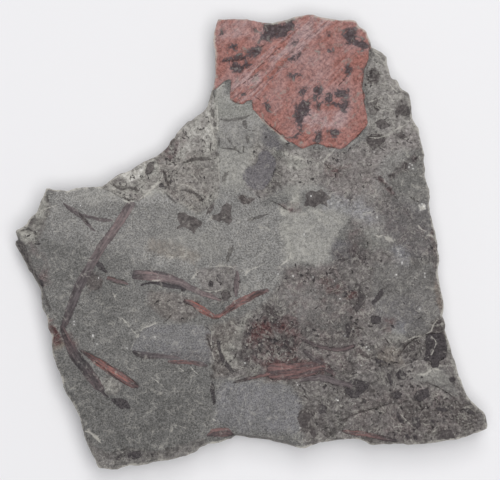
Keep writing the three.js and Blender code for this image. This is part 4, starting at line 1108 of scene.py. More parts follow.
def bed_height(places, stone):
    """Height of the upper face above the table, in millimetres."""
    on_plate = to_plate(places)
    x, y = on_plate.T
    ragged = strayed(places, RAGGED)
    swell = 0.3 * np.sin(x / 17 + 0.6) * np.cos(y / 21 - 0.4) + 0.22 * np.sin((x - 1.4 * y) / 13)
    height = BED_HEIGHT + swell + 0.25 * ripple(on_plate, *NOISE["bed"])
    for layer in STANDING_LAYERS.values():
        height += layer["rise"] * smooth_step(depth_inside(ragged, layer["outline"]), -0.9, 0.9)
    height += STEM_RISE * smooth_step(stone["stem"], -0.6, 1.2)
    height += FLAKE_RISE * smooth_step(stone["flake"], -0.6, 0.8)
    for name, scar in SCARS.items():
        shift = strayed(places, GENTLE) if name == "red corner" else ragged
        softness = 2.5 if name == "broken corner" else 0.8
        within = smooth_step(depth_inside(shift, scar["lip"] + scar["beyond"]), -softness, softness)
        from_lip, _, _ = line_distance(places, as_points(scar["lip"]))
        drop = np.minimum(scar["most"], scar["fall"] * from_lip * MM_PER_PIXEL)
        floor = BED_HEIGHT - scar["step"] - drop + 0.4 * swell
        height += (floor - height) * within
    grain = SMOOTH_GRAIN + (HACKLY_GRAIN - SMOOTH_GRAIN) * stone["hackly"]
    facets = 0.5 * splinters(on_plate, *NOISE["large splinters"])
    facets += 0.35 * splinters(on_plate, *NOISE["small splinters"])
    height += grain * (facets + 0.6 * thin_ledges(on_plate, *NOISE["ledges"], 3))
    height -= CRACK_DEPTH * stone["crack_and_step_shade"] + VEIN_DEPTH * stone["vein"]
    from_rim = stone["from_rim"] * MM_PER_PIXEL
    height -= RIM_DROP * (1 - smooth_step(from_rim, 0, RIM_WIDTH))
    chips = splinters(on_plate, *NOISE["chips"]) + 0.3 * ripple(on_plate, *NOISE["chipped stretches"])
    chips = np.maximum(0, chips)
    reach = CHIP_REACH * np.clip(chips, 0, 1) + 0.01
    height -= CHIP_DEPTH * chips * np.clip(1 - from_rim / reach, 0, 1)
    return np.minimum(height, high.z / MM - 0.01)


def relief_over(height, edges, times=3):
    """How far each vertex stands above (+) or below (-) the ground around it, in millimetres."""
    a, b = edges.T
    degree = np.bincount(edges.ravel(), minlength=len(height))
    level = height.copy()
    for _ in range(times):
        total = np.bincount(a, level[b], len(height)) + np.bincount(b, level[a], len(height))
        level = 0.3 * level + 0.7 * total / degree
    return height - level


def side_setback(rim, heights):
    """How far the broken side stands in from the rim at each place and height, in millimetres."""
    spot = to_plate(rim)
    bend = LAYER_BEND * ripple(spot, *NOISE["bent layers"])
    layer = np.floor((heights + bend) / LAYER_THICKNESS)
    around = np.arctan2(spot[:, 1], spot[:, 0]) * RIM_RADIUS
    column = np.stack([around, layer * 5.0], axis=1)
    wall = np.stack([around, heights], axis=1)
    setback = LAYER_SETBACK * np.clip(0.5 + 0.9 * ripple(column, *NOISE["broken layers"]), 0, 1)
    setback += SPLINTER_SETBACK * (1 + splinters(wall, *NOISE["side splinters"])) / 2
    foot = 1 - smooth_step(heights, 0, FOOT_HEIGHT)
    return setback + FOOT_SETBACK * foot * (0.6 + 0.4 * ripple(spot, *NOISE["foot"]))


def build_stone():
    """One closed mesh: the upper face, the broken side below its rim, and the underside."""
    rim = ragged_rim()
    count = len(rim)
    flat = [Vector(p) for p in np.vstack([rim, bed_points(rim)])]
    loop = [(i, (i + 1) % count) for i in range(count)]
    points, edges, faces, _, _, _ = delaunay_2d_cdt(flat, loop, [], 1, 1e-5)
    assert len(points) == len(flat), "two vertices of the bed fell together"
    places = np.array([tuple(p) for p in points])
    stone = read_stone(places)
    heights = bed_height(places, stone)
    # how far each place stands proud or sunk, which the material turns into painted light on crests and
    # painted shade in hollows
    stone["relief"] = relief_over(heights, np.array(edges))
    top = np.column_stack([to_plate(places), heights])
    edge = top[:count]

    inwards = -sideways(rounded(edge[:, :2], 30), closed=True)
    rows = []
    for row in range(1, SIDE_ROWS + 1):
        level = edge[:, 2] * (1 - row / SIDE_ROWS)
        back = side_setback(rim, level) * min(1, row / 2)
        ring = rounded(edge[:, :2] + inwards * back[:, None], row)
        rows.append(np.column_stack([ring, level]))
    side = np.vstack(rows)

    under_places, under_faces = underside(rows[-1])
    vertices = np.vstack([top, side, under_places])
    everything = [tuple(face) for face in faces]
    everything += side_faces(count, len(top))
    foot_start = len(top) + len(side) - count
    under_start = len(top) + len(side)
    for face in under_faces:
        mapped = [foot_start + i if i < count else under_start + i - count for i in face]
        everything.append(tuple(reversed(mapped)))
    return vertices, everything, stone, len(top)


def rounded(ring, times):
    """A closed ring with its small teeth worn off, more with each time."""
    for _ in range(times):
        ring = ring / 2 + (np.roll(ring, 1, axis=0) + np.roll(ring, -1, axis=0)) / 4
    return ring


def side_faces(count, top_count):
    faces = []
    for row in range(SIDE_ROWS):
        upper = 0 if row == 0 else top_count + (row - 1) * count
        lower = top_count + row * count
        for i in range(count):
            j = (i + 1) % count
            faces.append((upper + i, lower + i, lower + j, upper + j))
    return faces


def underside(foot):
    """The lower split: it rests on most of its face, with shallow ledges where layers came away."""
    outline = foot[:, :2]
    lowest, highest = outline.min(axis=0), outline.max(axis=0)
    random = np.random.default_rng(SEED + 1)
    grid_x, grid_y = np.meshgrid(
        np.arange(lowest[0], highest[0], UNDER_SPACING), np.arange(lowest[1], highest[1], UNDER_SPACING))
    places = np.stack([grid_x.ravel(), grid_y.ravel()], axis=1)
    places += random.uniform(-0.35, 0.35, places.shape) * UNDER_SPACING
    places = places[is_inside(places, outline)]
    from_rim, _, _ = line_distance(places, np.vstack([outline, outline[:1]]))
    places = places[from_rim > UNDER_MARGIN]
    flat = [Vector(p) for p in np.vstack([outline, places])]
    loop = [(i, (i + 1) % len(outline)) for i in range(len(outline))]
    points, _, faces, _, _, _ = delaunay_2d_cdt(flat, loop, [], 1, 1e-6)
    assert len(points) == len(flat), "two vertices of the underside fell together"
    inner = np.array([tuple(p) for p in points])[len(outline):]
    lost = np.floor(2.2 * np.clip(ripple(inner, *NOISE["lost layers"]) - 0.05, 0, 1) * 3) / 3
    height = LOST_LAYERS * lost + UNDER_GRAIN * np.clip(ripple(inner, *NOISE["underside"]), 0, 1)
    return np.column_stack([inner, height]), faces


def into_the_box(vertices):
    """Keeps vertices, in millimetres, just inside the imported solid's box."""
    return np.clip(vertices, np.array(low) / MM + (0.005, 0.005, 0), np.array(high) / MM - 0.005)


def link(name, mesh):
    piece = bpy.data.objects.new(name, mesh)
    bpy.context.scene.collection.objects.link(piece)
    return piece


# What the broken side and the underside are, where it isn't 0. Pale on them is painted light, which brightens
# the broken side as if lit.
SIDE_FIELDS = {
    "hackly": 0.8, "pale": 0.35, "from_rim": FAR, "red": -FAR, "flake": -FAR, "film": -FAR, "smudge": -FAR,
    "stem": -FAR}


def make_plate():
    vertices, faces, stone, top_count = build_stone()
    mesh = bpy.data.meshes.new("siltstone_plate")
    mesh.from_pydata((into_the_box(vertices) * MM).tolist(), [], faces)
    mesh.update()
    for name, values in stone.items():
        whole = np.full(len(vertices), SIDE_FIELDS.get(name, 0.0))
        whole[:top_count] = values
        mesh.attributes.new(name, "FLOAT", "POINT").data.foreach_set("value", whole)
    for name in ("shade", "carbon"):
        mesh.attributes.new(name, "FLOAT", "POINT")
    mesh.validate()
    mesh.shade_smooth()
    mesh.set_sharp_from_angle(angle=math.radians(SHARP_ANGLE))
    return link("siltstone_plate", mesh)


def linear(hex_colour):
    """An sRGB hex colour as linear red, green, blue and alpha."""
    channels = [int(hex_colour[i:i + 2], 16) / 255 for i in (1, 3, 5)]
    return [c / 12.92 if c <= 0.04045 else ((c + 0.055) / 1.055) ** 2.4 for c in channels] + [1.0]


def add(tree, kind, inputs=None, output=None, **settings):
    """Adds a node, sets its properties, sets or links its inputs by name or place, and gives an output."""
    node = tree.nodes.new(kind)
    for name, value in settings.items():
        setattr(node, name, value)
    for key, value in (inputs or {}).items():
        named = [socket for socket in node.inputs if socket.enabled and socket.name == key]
        socket = named[0] if named else node.inputs[key]
        if isinstance(value, bpy.types.NodeSocket):
            tree.links.new(value, socket)
        else:
            socket.default_value = linear(value) if socket.type == "RGBA" else value
    if output:
        return node.outputs[output]
    return next((socket for socket in node.outputs if socket.enabled), None)


# Each grain of the stone's own texture: the size of its largest lumps in mm, detail, roughness, distortion.
# Real silt grains are a few hundredths of a millimetre, too fine to show, so felt is drawn ten times coarser.
TEXTURES = {
    "felt": (0.4, 2.0, 0.8, 0.0),
    "grit": (0.9, 4.0, 0.75, 0.3),
    "ragged": (2.0, 6.0, 0.72, 0.6),
    "flaking": (3.0, 4.0, 0.6, 0.9),
    "cloud": (3.6, 5.0, 0.62, 0.6),
    "broad": (12.0, 4.0, 0.55, 0.4),
    "layers": (8.0, 5.0, 0.58, 0.5),
}

# The facets that the stone broke into, and the scraps of plant and the specks in it: their cells in mm
CELLS = {"chip": 1.3, "plate": 5.5, "scrap": 2.6, "speck": 0.75}

# Two-tone finishes: the texture that mixes them, and the darker and the paler colour. Those that also name
# a kind of ground lie on it in patches, and the faint ones are the least broken up.
FINISHES = {
    "grey": ("felt", "#4d4c4a", "#7e7d7b"),
    "warm": ("grit", "#4f4a48", "#888280"),
    "pale": ("grit", "#7c7b76", "#bbb9b1"),
    "brown": ("grit", "#3d3434", "#7b6d6c"),
    "purple": ("felt", "#454347", "#777478"),
    "cool": ("felt", "#5c5b5e", "#8b8a8d"),
    "blue": ("grit", "#646468", "#a5a5a9"),
    "soot": ("grit", "#383333", "#6b6563"),
    "green": ("felt", "#51524e", "#8a8b85"),
    "tan": ("grit", "#5f5851", "#958b80"),
    "rust": ("grit", "#412c2c", "#684a49"),
    "carbon": ("felt", "#252224", "#4f4a4c"),
    "slate": ("grit", "#1c181b", "#5a5458"),
    "white": ("grit", "#aaa79f", "#e8e6e1"),
    "dark": ("grit", "#332e2f", "#5d5656"),
    "brick": ("grit", "#744d47", "#b0796f"),
    "bloom": ("grit", "#8a7374", "#bfa19d"),
}
FAINT = ("green", "purple", "cool", "tan", "blue", "pale")

# The stems' two-tone colours, which their fibres mix
FIBRES = {"dull": ("#584f51", "#8f8484"), "black": ("#252224", "#565154"), "rusty": ("#5f3934", "#a86d63")}

# How a mark's edge breaks up: the texture that frays it, by how many pixels, and where it starts and is full
FRAYED = {
    "flake": ("ragged", 2.6, -0.15, 0.2),
    "film": ("ragged", 2.5, -0.8, 0.8),
    "smudge": ("ragged", 12.0, -3.0, 2.2),
    "stem": ("ragged", 2.5, -0.3, 0.2),
    "crack_and_step_shade": ("ragged", 1.2, 0.25, 0.65),
    "bruise_and_edge_light": ("ragged", 1.3, 0.15, 0.65),
    "vein": ("ragged", 1.6, 0.25, 0.7),
    "red": ("felt", 1.0, -0.3, 0.3),
}


def stone_material():
    """Siltstone, split along its bedding and broken at its edges: a dull, fine-grained mudrock.

    To the eye it is matt grey with a felted grain, paler where it is bruised and brown to black where a
    film of carbon lies on it. Iron stains one plane brick red. Light and shade are partly painted on too:
    on crests and hollows, ledge edges, the rim and the splinter facets.
    """
    material = bpy.data.materials.new("siltstone_split_and_iron_stained")
    material.use_nodes = True
    tree = material.node_tree
    tree.nodes.clear()
    places = add(tree, "ShaderNodeTexCoord", output="Object")
    field = {}
    for name in (*FRAYED, *GROUNDS, "hackly", "grain", "across", "along", "stem_red", "stem_dark", "relief",
                 "from_rim", "shade", "carbon"):
        field[name] = add(tree, "ShaderNodeAttribute", output="Fac", attribute_name=name)

    texture = {}
    for name, (size, detail, roughness, distortion) in TEXTURES.items():
        texture[name] = add(tree, "ShaderNodeTexNoise", {
            "Vector": places, "Scale": METRE / size, "Detail": detail, "Roughness": roughness,
            "Distortion": distortion})
    crisp = {}
    for name in ("felt", "grit", "ragged", "cloud", "broad"):
        crisp[name] = add(tree, "ShaderNodeMapRange", {
            "Value": texture[name], "From Min": 0.36, "From Max": 0.64})
    finish = {}
    for name, (grain, dark, light) in FINISHES.items():
        finish[name] = add(tree, "ShaderNodeMix", {"Factor": crisp[grain], "A": dark, "B": light},
                           data_type="RGBA")
    mark = {}
    for name, (grain, reach, start, full) in FRAYED.items():
        frayed = add(tree, "ShaderNodeMath", {0: texture[grain], 1: 2 * reach, 2: field[name]},
                     operation="MULTIPLY_ADD")
        mark[name] = add(tree, "ShaderNodeMapRange", {
            "Value": frayed, "From Min": reach + start, "From Max": reach + full})

    # flat facets, each tilted its own way, with wavering edges
    waver = add(tree, "ShaderNodeTexNoise", {"Vector": places, "Scale": METRE / 1.6, "Detail": 3.0},
                output="Color")
    wavered = add(tree, "ShaderNodeVectorMath", {0: waver, 1: (1.1 * MM, 1.1 * MM, 0.4 * MM), 2: places},
                  operation="MULTIPLY_ADD")
    tone = {}
    facet = {}
    from_middle = {}
    for name, size in CELLS.items():
        cell = tree.nodes.new("ShaderNodeTexVoronoi")
        cell.inputs["Scale"].default_value = METRE / size
        tree.links.new(wavered, cell.inputs["Vector"])
        from_middle[name] = cell.outputs["Distance"]
        tone[name] = add(tree, "ShaderNodeSeparateColor", {"Color": cell.outputs["Color"]})
        if name == "speck":
            continue
        away = add(tree, "ShaderNodeVectorMath", {0: wavered, 1: cell.outputs["Position"]},
                   operation="SUBTRACT")
        tilt = add(tree, "ShaderNodeVectorMath", {0: cell.outputs["Color"], 1: (0.5, 0.5, 0.5)},
                   operation="SUBTRACT")
        slope = add(tree, "ShaderNodeVectorMath", {0: away, 1: tilt}, output="Value",
                    operation="DOT_PRODUCT")
        slope = add(tree, "ShaderNodeMath", {0: slope, 1: METRE}, operation="MULTIPLY")
        facet[name] = add(tree, "ShaderNodeMath", {0: tone[name], 1: 0.12 * size, 2: slope},
                          operation="MULTIPLY_ADD")

    # scraps of plant: the middles of the cells with the highest tone, and more of them on brown ground
    scrap = add(tree, "ShaderNodeMath", {0: texture["ragged"], 1: 2.5, 2: tone["scrap"]},
                operation="MULTIPLY_ADD")
    scrap = add(tree, "ShaderNodeMath", {0: scrap, 1: from_middle["scrap"]}, operation="SUBTRACT")
    scrap = add(tree, "ShaderNodeMath", {0: field["brown"], 1: 0.35, 2: scrap}, operation="MULTIPLY_ADD")

    # spots, each picked out of a texture, a cell or a field: where it starts and where it is full
    spot = {}
    for name, value, start, full in (
            ("scrap", scrap, 1.82, 1.92), ("speck", from_middle["speck"], 0.36, 0.2),
            ("bright", tone["speck"], 0.72, 0.95), ("dim", tone["speck"], 0.4, 0.05),
            ("crumb", texture["grit"], 0.56, 0.64), ("pit", texture["grit"], 0.44, 0.36),
            ("dirt", texture["cloud"], 0.5, 0.36), ("rim", field["from_rim"], 2.2, 0.4),
            ("lit_crest", field["relief"], 0.02, 0.12), ("shaded_hollow", field["relief"], -0.02, -0.12)):
        spot[name] = add(tree, "ShaderNodeMapRange", {"Value": value, "From Min": start, "From Max": full})
    # most of them lie on splintery ground, and specks are bright or dim cells' middles
    cover = {}
    for name, clean in (("speckled", 0.3), ("spotted", 0.4)):
        cover[name] = add(tree, "ShaderNodeMapRange", {
            "Value": field["hackly"], "To Min": clean, "To Max": 1.0})
    for name, within in (
            ("bright", spot["speck"]), ("bright", cover["speckled"]), ("dim", spot["speck"]),
            ("crumb", cover["spotted"]), ("pit", cover["spotted"]), ("dirt", field["hackly"]),
            ("scrap", field["hackly"])):
        spot[name] = add(tree, "ShaderNodeMath", {0: spot[name], 1: within}, operation="MULTIPLY")
    # painted light along the rim, partly worn pale stone
    rim_light_and_wear = add(tree, "ShaderNodeMath", {0: spot["rim"], 1: crisp["ragged"]}, operation="MULTIPLY")

    # the thin layers that the bed broke through: a level that steps, and the line of each step's edge, with
    # painted light along the brink, partly bruised stone, and painted shade at the foot of the step
    ledges = {}
    lit_ledge_edge = {}
    shaded_ledge_foot = {}
    for name, count, clean, patch in (("layers", 9.0, 0.5, "cloud"), ("flaking", 3.2, 0.1, "broad")):
        level = add(tree, "ShaderNodeMath", {0: texture[name], 1: count}, operation="MULTIPLY")
        part = add(tree, "ShaderNodeMath", {0: level}, operation="FRACT")
        step = add(tree, "ShaderNodeMapRange", {"Value": part, "From Min": 0.0, "From Max": 0.14})
        whole = add(tree, "ShaderNodeMath", {0: level}, operation="FLOOR")
        ledges[name] = add(tree, "ShaderNodeMath", {0: whole, 1: step}, operation="ADD")
        lit_edge = add(tree, "ShaderNodeMapRange", {
            "Value": part, "From Min": 0.10, "From Max": 0.24, "To Min": 1.0, "To Max": 0.0})
        ledge_foot_shade = add(tree, "ShaderNodeMapRange", {"Value": part, "From Min": 0.84, "From Max": 0.97})
        worn = add(tree, "ShaderNodeMapRange", {"Value": field["hackly"], "To Min": clean, "To Max": 1.0})
        worn = add(tree, "ShaderNodeMath", {0: worn, 1: crisp[patch]}, operation="MULTIPLY")
        lit_ledge_edge[name] = add(tree, "ShaderNodeMath", {0: lit_edge, 1: worn}, operation="MULTIPLY")
        shaded_ledge_foot[name] = add(tree, "ShaderNodeMath", {0: ledge_foot_shade, 1: worn}, operation="MULTIPLY")

    # the red plane: streaks of an old flow, drawn out from lower left to upper right
    flow = add(tree, "ShaderNodeMapping", {
        "Vector": places, "Rotation": (0, 0, math.radians(FLOW_ANGLE)), "Scale": (7.0, 1.0, 1.0)},
        vector_type="TEXTURE")
    streak = add(tree, "ShaderNodeTexNoise", {
        "Vector": flow, "Scale": METRE / 1.5, "Detail": 4.0, "Roughness": 0.65, "Distortion": 0.8})
    fine_streak = add(tree, "ShaderNodeTexNoise", {
        "Vector": flow, "Scale": METRE / 0.6, "Detail": 3.0, "Roughness": 0.6})
    band = add(tree, "ShaderNodeMapRange", {"Value": streak, "From Min": 0.4, "From Max": 0.6})
    ruddy = add(tree, "ShaderNodeMath", {0: 1.0, 1: field["ruddy"]}, operation="SUBTRACT")
    even = add(tree, "ShaderNodeMapRange", {"Value": texture["broad"], "From Min": 0.44, "From Max": 0.74})
    stain = add(tree, "ShaderNodeMix", {"Factor": field["flow"], "A": even, "B": band})
    bloom = add(tree, "ShaderNodeMath", {0: field["pink"], 1: crisp["cloud"]}, operation="MULTIPLY")
    stain = add(tree, "ShaderNodeMath", {0: bloom, 1: 1.5, 2: stain}, operation="MULTIPLY_ADD",
                use_clamp=True)
    stain = add(tree, "ShaderNodeMath", {0: stain, 1: ruddy}, operation="MULTIPLY")
    rusted = add(tree, "ShaderNodeMix", {"Factor": stain, "A": finish["brick"], "B": finish["bloom"]},
                 data_type="RGBA")
    thread = add(tree, "ShaderNodeMapRange", {"Value": fine_streak, "From Min": 0.46, "From Max": 0.36})
    thread_cover = add(tree, "ShaderNodeMapRange", {"Value": field["flow"], "To Min": 0.25, "To Max": 1.0})
    thread = add(tree, "ShaderNodeMath", {0: thread, 1: thread_cover}, operation="MULTIPLY")
    speck = add(tree, "ShaderNodeMapRange", {"Value": texture["felt"], "From Min": 0.42, "From Max": 0.33})
    smudge = add(tree, "ShaderNodeMath", {0: mark["smudge"], 1: 1.4, 2: crisp["grit"]},
                 operation="MULTIPLY_ADD")
    smudge = add(tree, "ShaderNodeMapRange", {"Value": smudge, "From Min": 0.9, "From Max": 1.6})
    for cover, strength, colour in (
            (thread, 0.55, "#554240"), (speck, 0.4, "#4f3735"), (smudge, 0.92, finish["slate"]),
            (mark["vein"], 0.8, "#42302f")):
        amount = add(tree, "ShaderNodeMath", {0: cover, 1: strength}, operation="MULTIPLY")
        rusted = add(tree, "ShaderNodeMix", {"Factor": amount, "A": rusted, "B": colour}, data_type="RGBA")

    # the stems: fibres along them, from pinkish brown to black, some rusted
    fibre_place = add(tree, "ShaderNodeCombineXYZ", {0: field["across"], 1: field["along"]})
    fibre_place = add(tree, "ShaderNodeVectorMath", {0: fibre_place, 1: (0.3, 0.035, 1.0)},
                      operation="MULTIPLY")
    fibres = add(tree, "ShaderNodeTexNoise", {
        "Vector": fibre_place, "Scale": 1.0, "Detail": 4.0, "Roughness": 0.7})
    fibre = add(tree, "ShaderNodeMapRange", {"Value": fibres, "From Min": 0.42, "From Max": 0.58})
    grainy = add(tree, "ShaderNodeMix", {"Factor": 0.4, "A": fibre, "B": crisp["grit"]})
    fibrous = {}
    for name, (dark, light) in FIBRES.items():
        fibrous[name] = add(tree, "ShaderNodeMix", {"Factor": grainy, "A": dark, "B": light},
                            data_type="RGBA")
    stem_colour = add(tree, "ShaderNodeMix", {
        "Factor": field["stem_dark"], "A": fibrous["dull"], "B": fibrous["black"]}, data_type="RGBA")
    striped = add(tree, "ShaderNodeMath", {0: fibre, 1: 1.2, 2: 0.3}, operation="MULTIPLY_ADD")
    striped = add(tree, "ShaderNodeMath", {0: field["stem_red"], 1: striped}, operation="MULTIPLY",
                  use_clamp=True)
    stem_colour = add(tree, "ShaderNodeMix", {"Factor": striped, "A": stem_colour, "B": fibrous["rusty"]},
                      data_type="RGBA")
    outer = add(tree, "ShaderNodeMapRange", {
        "Value": field["stem"], "From Min": 0.3, "From Max": 1.3, "To Min": 0.3, "To Max": 0.0})
    stem_colour = add(tree, "ShaderNodeMix", {"Factor": outer, "A": stem_colour, "B": "#3a3435"},
                      data_type="RGBA")

    # the marks lie flat on the stone, without the painted light on its crests and the painted shade in its
    # hollows
    marked = add(tree, "ShaderNodeMath", {0: mark["flake"], 1: mark["stem"]}, operation="MAXIMUM")
    marked = add(tree, "ShaderNodeMath", {0: marked, 1: mark["film"]}, operation="MAXIMUM")
    open_ground = add(tree, "ShaderNodeMath", {0: 1.0, 1: marked}, operation="SUBTRACT")
    hackly = add(tree, "ShaderNodeMath", {0: field["hackly"], 1: open_ground}, operation="MULTIPLY")
    for name in ("lit_crest", "shaded_hollow"):
        spot[name] = add(tree, "ShaderNodeMath", {0: spot[name], 1: hackly}, operation="MULTIPLY")

    flake_colour = add(tree, "ShaderNodeMix", {
        "Factor": field["sooty"], "A": finish["carbon"], "B": finish["soot"]}, data_type="RGBA")

    # laid over one another from the ground up, each kind of ground in patches
    # the bed's brightness: painted light and shade where it faces the light more or less, painted light and
    # shade of the facets, random tone, and a paler rim, partly worn and partly painted light
    brightness = add(tree, "ShaderNodeMath", {0: field["lighter"], 1: 1.3, 2: 0.76}, operation="MULTIPLY_ADD")
    for value, strength in ((field["deeper"], -0.35), (tone["plate"], 0.12), (crisp["broad"], 0.12),
                            (crisp["cloud"], 0.2), (crisp["ragged"], 0.14), (spot["rim"], 0.15)):
        brightness = add(tree, "ShaderNodeMath", {0: value, 1: strength, 2: brightness},
                         operation="MULTIPLY_ADD")
    # painted light and shade of the splinter facets: each cell's own tone brightens or dims it as a tilted
    # facet would look
    for size, strength in (("chip", 0.25), ("scrap", 0.32), ("plate", 0.38)):
        facet_shade = add(tree, "ShaderNodeMath", {0: tone[size], 1: -0.5}, operation="ADD")
        facet_shade = add(tree, "ShaderNodeMath", {0: facet_shade, 1: field["hackly"]}, operation="MULTIPLY")
        brightness = add(tree, "ShaderNodeMath", {0: facet_shade, 1: strength, 2: brightness},
                         operation="MULTIPLY_ADD")
    # the broken side shows the beds as level bands
    band_place = add(tree, "ShaderNodeVectorMath", {0: places, 1: (0.12, 0.12, 1.0)}, operation="MULTIPLY")
    bands = add(tree, "ShaderNodeTexNoise", {
        "Vector": band_place, "Scale": METRE / 1.3, "Detail": 3.0, "Roughness": 0.6})
    bands = add(tree, "ShaderNodeMapRange", {
        "Value": bands, "From Min": 0.38, "From Max": 0.62, "To Min": -0.25, "To Max": 0.3})
    facing = add(tree, "ShaderNodeNewGeometry", output="True Normal")
    facing = add(tree, "ShaderNodeSeparateXYZ", {"Vector": facing}, output="Z")
    on_side = add(tree, "ShaderNodeMapRange", {"Value": facing, "From Min": 0.6, "From Max": 0.2})
    brightness = add(tree, "ShaderNodeMath", {0: bands, 1: on_side, 2: brightness}, operation="MULTIPLY_ADD")
    warmth = add(tree, "ShaderNodeMath", {0: field["hackly"], 1: 0.7}, operation="MULTIPLY")
    ground = add(tree, "ShaderNodeMix", {"Factor": warmth, "A": finish["grey"], "B": finish["warm"]},
                 data_type="RGBA")
    surface = add(tree, "ShaderNodeVectorMath", {0: ground, "Scale": brightness}, operation="SCALE")
    faint = add(tree, "ShaderNodeMath", {0: crisp["cloud"], 1: 0.8, 2: 0.6}, operation="MULTIPLY_ADD")
    patches = add(tree, "ShaderNodeMath", {0: crisp["cloud"], 1: 2.0}, operation="MULTIPLY")
    layers = []
    for kind in GROUNDS:
        if kind in FINISHES:
            broken_up = faint if kind in FAINT else patches
            patchy = add(tree, "ShaderNodeMath", {0: field[kind], 1: broken_up}, operation="MULTIPLY",
                         use_clamp=True)
            layers.append((patchy, 1.0, finish[kind]))
    layers += [
        (spot["dirt"], 0.25, "#534b4a"), (spot["crumb"], 0.2, "#b9b6af"), (spot["pit"], 0.22, "#3b3535"),
        # painted light on the ledges' brinks, partly bruised stone, and painted shade at their feet
        (lit_ledge_edge["flaking"], 0.4, "#bdbab1"), (shaded_ledge_foot["flaking"], 0.5, "#383231"),
        (lit_ledge_edge["layers"], 0.5, "#c4c1b8"), (shaded_ledge_foot["layers"], 0.5, "#3a3433"),
        (spot["scrap"], 0.5, finish["carbon"]), (spot["bright"], 0.36, "#cfcec8"),
        (spot["dim"], 0.3, "#322d2d"), (mark["red"], 1.0, rusted),
        (mark["film"], 0.8, finish["purple"]), (mark["flake"], 0.9, flake_colour),
        (mark["stem"], 0.92, stem_colour), (mark["crack_and_step_shade"], 0.55, "#352f2e"),
        (mark["bruise_and_edge_light"], 0.55, "#c6c3ba"), (rim_light_and_wear, 0.45, "#c9c5bb"),
        # paler crests, partly bruised stone and partly painted light, and painted shade in the hollows of the
        # relief
        (spot["lit_crest"], 0.2, "#b9b6ae"), (spot["shaded_hollow"], 0.3, "#393434"),
        (field["grain"], 0.95, "#f0efec"), (field["carbon"], 0.85, finish["carbon"]),
    ]
    for cover, strength, colour in layers:
        amount = add(tree, "ShaderNodeMath", {0: cover, 1: strength}, operation="MULTIPLY")
        surface = add(tree, "ShaderNodeMix", {"Factor": amount, "A": surface, "B": colour}, data_type="RGBA")
    shade = add(tree, "ShaderNodeMath", {0: field["shade"], 1: 1.0}, operation="ADD")
    surface = add(tree, "ShaderNodeVectorMath", {0: surface, "Scale": shade}, operation="SCALE")

    # heights of the fine relief in millimetres, where the bed is clean and where it is splintery
    relief = add(tree, "ShaderNodeMath", {0: texture["felt"], 1: 0.1}, operation="MULTIPLY")
    for height, middle, clean, splintery in (
            (texture["grit"], 0.5, 0.1, 0.25), (facet["chip"], 0.08, 0.0, 0.25),
            (facet["scrap"], 0.16, 0.0, 0.25), (facet["plate"], 0.33, 0.05, 0.35),
            (ledges["layers"], 4.5, 0.02, 0.14),
            (ledges["flaking"], 1.6, 0.0, 0.12)):
        height = add(tree, "ShaderNodeMath", {0: height, 1: middle}, operation="SUBTRACT")
        scale = add(tree, "ShaderNodeMapRange", {"Value": hackly, "To Min": clean, "To Max": splintery})
        relief = add(tree, "ShaderNodeMath", {0: height, 1: scale, 2: relief}, operation="MULTIPLY_ADD")
    bump = add(tree, "ShaderNodeBump", {"Height": relief, "Strength": 1.0, "Distance": MM})
    skin = add(tree, "ShaderNodeBsdfPrincipled", {
        "Base Color": surface, "Roughness": 0.88, "IOR": 1.5, "Specular IOR Level": 0.25, "Normal": bump})
    add(tree, "ShaderNodeOutputMaterial", {"Surface": skin})
    return material


def crumb_tree():
    """Loose angular crumbs on the splintery ground, as a node tree that any broken stone can use."""
    tree = bpy.data.node_groups.new("crumbs_on_broken_ground", "GeometryNodeTree")
    sockets = {}
    for name, kind in (("Stone", "Geometry"), ("Cover", "String"), ("Per square metre", "Float"),
                       ("Smallest", "Vector"), ("Largest", "Vector"), ("Corners", "Int"), ("Taper", "Float"),
                       ("Carbon", "Float"), ("Seed", "Int"), ("Finish", "Material")):
        socket = tree.interface.new_socket(name, in_out="INPUT", socket_type="NodeSocket" + kind)
        sockets[name] = socket.identifier
    tree.interface.new_socket("Crumbs", in_out="OUTPUT", socket_type="NodeSocketGeometry")
    given = tree.nodes.new("NodeGroupInput").outputs
    cover = add(tree, "GeometryNodeInputNamedAttribute", {"Name": given["Cover"]}, data_type="FLOAT")
    density = add(tree, "ShaderNodeMath", {0: cover, 1: given["Per square metre"]}, operation="MULTIPLY")
    lying = tree.nodes.new("GeometryNodeDistributePointsOnFaces")
    for name, value in (("Mesh", given["Stone"]), ("Density", density), ("Seed", given["Seed"])):
        tree.links.new(value, lying.inputs[name])
    points = lying.outputs["Points"]
    tint = add(tree, "FunctionNodeRandomValue", {"Min": -0.25, "Max": 0.2, "Seed": given["Seed"]})
    for name, value in (("shade", tint), ("carbon", given["Carbon"])):
        points = add(tree, "GeometryNodeStoreNamedAttribute", {
            "Geometry": points, "Name": name, "Value": value})
    turn = add(tree, "FunctionNodeRandomValue", {
        "Min": (-0.2, -0.2, 0.0), "Max": (0.2, 0.2, 2 * math.pi), "Seed": given["Seed"]},
        data_type="FLOAT_VECTOR")
    turn = add(tree, "FunctionNodeRotateRotation", {"Rotation": lying.outputs["Rotation"], "Rotate By": turn},
               rotation_space="LOCAL")
    size = add(tree, "FunctionNodeRandomValue", {
        "Min": given["Smallest"], "Max": given["Largest"], "Seed": given["Seed"]}, data_type="FLOAT_VECTOR")
    crumb = add(tree, "GeometryNodeMeshCone", {
        "Vertices": given["Corners"], "Radius Top": given["Taper"], "Radius Bottom": 0.5, "Depth": 1.0},
        output="Mesh")
    crumbs = add(tree, "GeometryNodeInstanceOnPoints", {
        "Points": points, "Instance": crumb, "Rotation": turn, "Scale": size})
    crumbs = add(tree, "GeometryNodeRealizeInstances", {"Geometry": crumbs})
    crumbs = add(tree, "GeometryNodeSetMaterial", {"Geometry": crumbs, "Material": given["Finish"]})
    add(tree, "NodeGroupOutput", {"Crumbs": crumbs})
    return tree, sockets


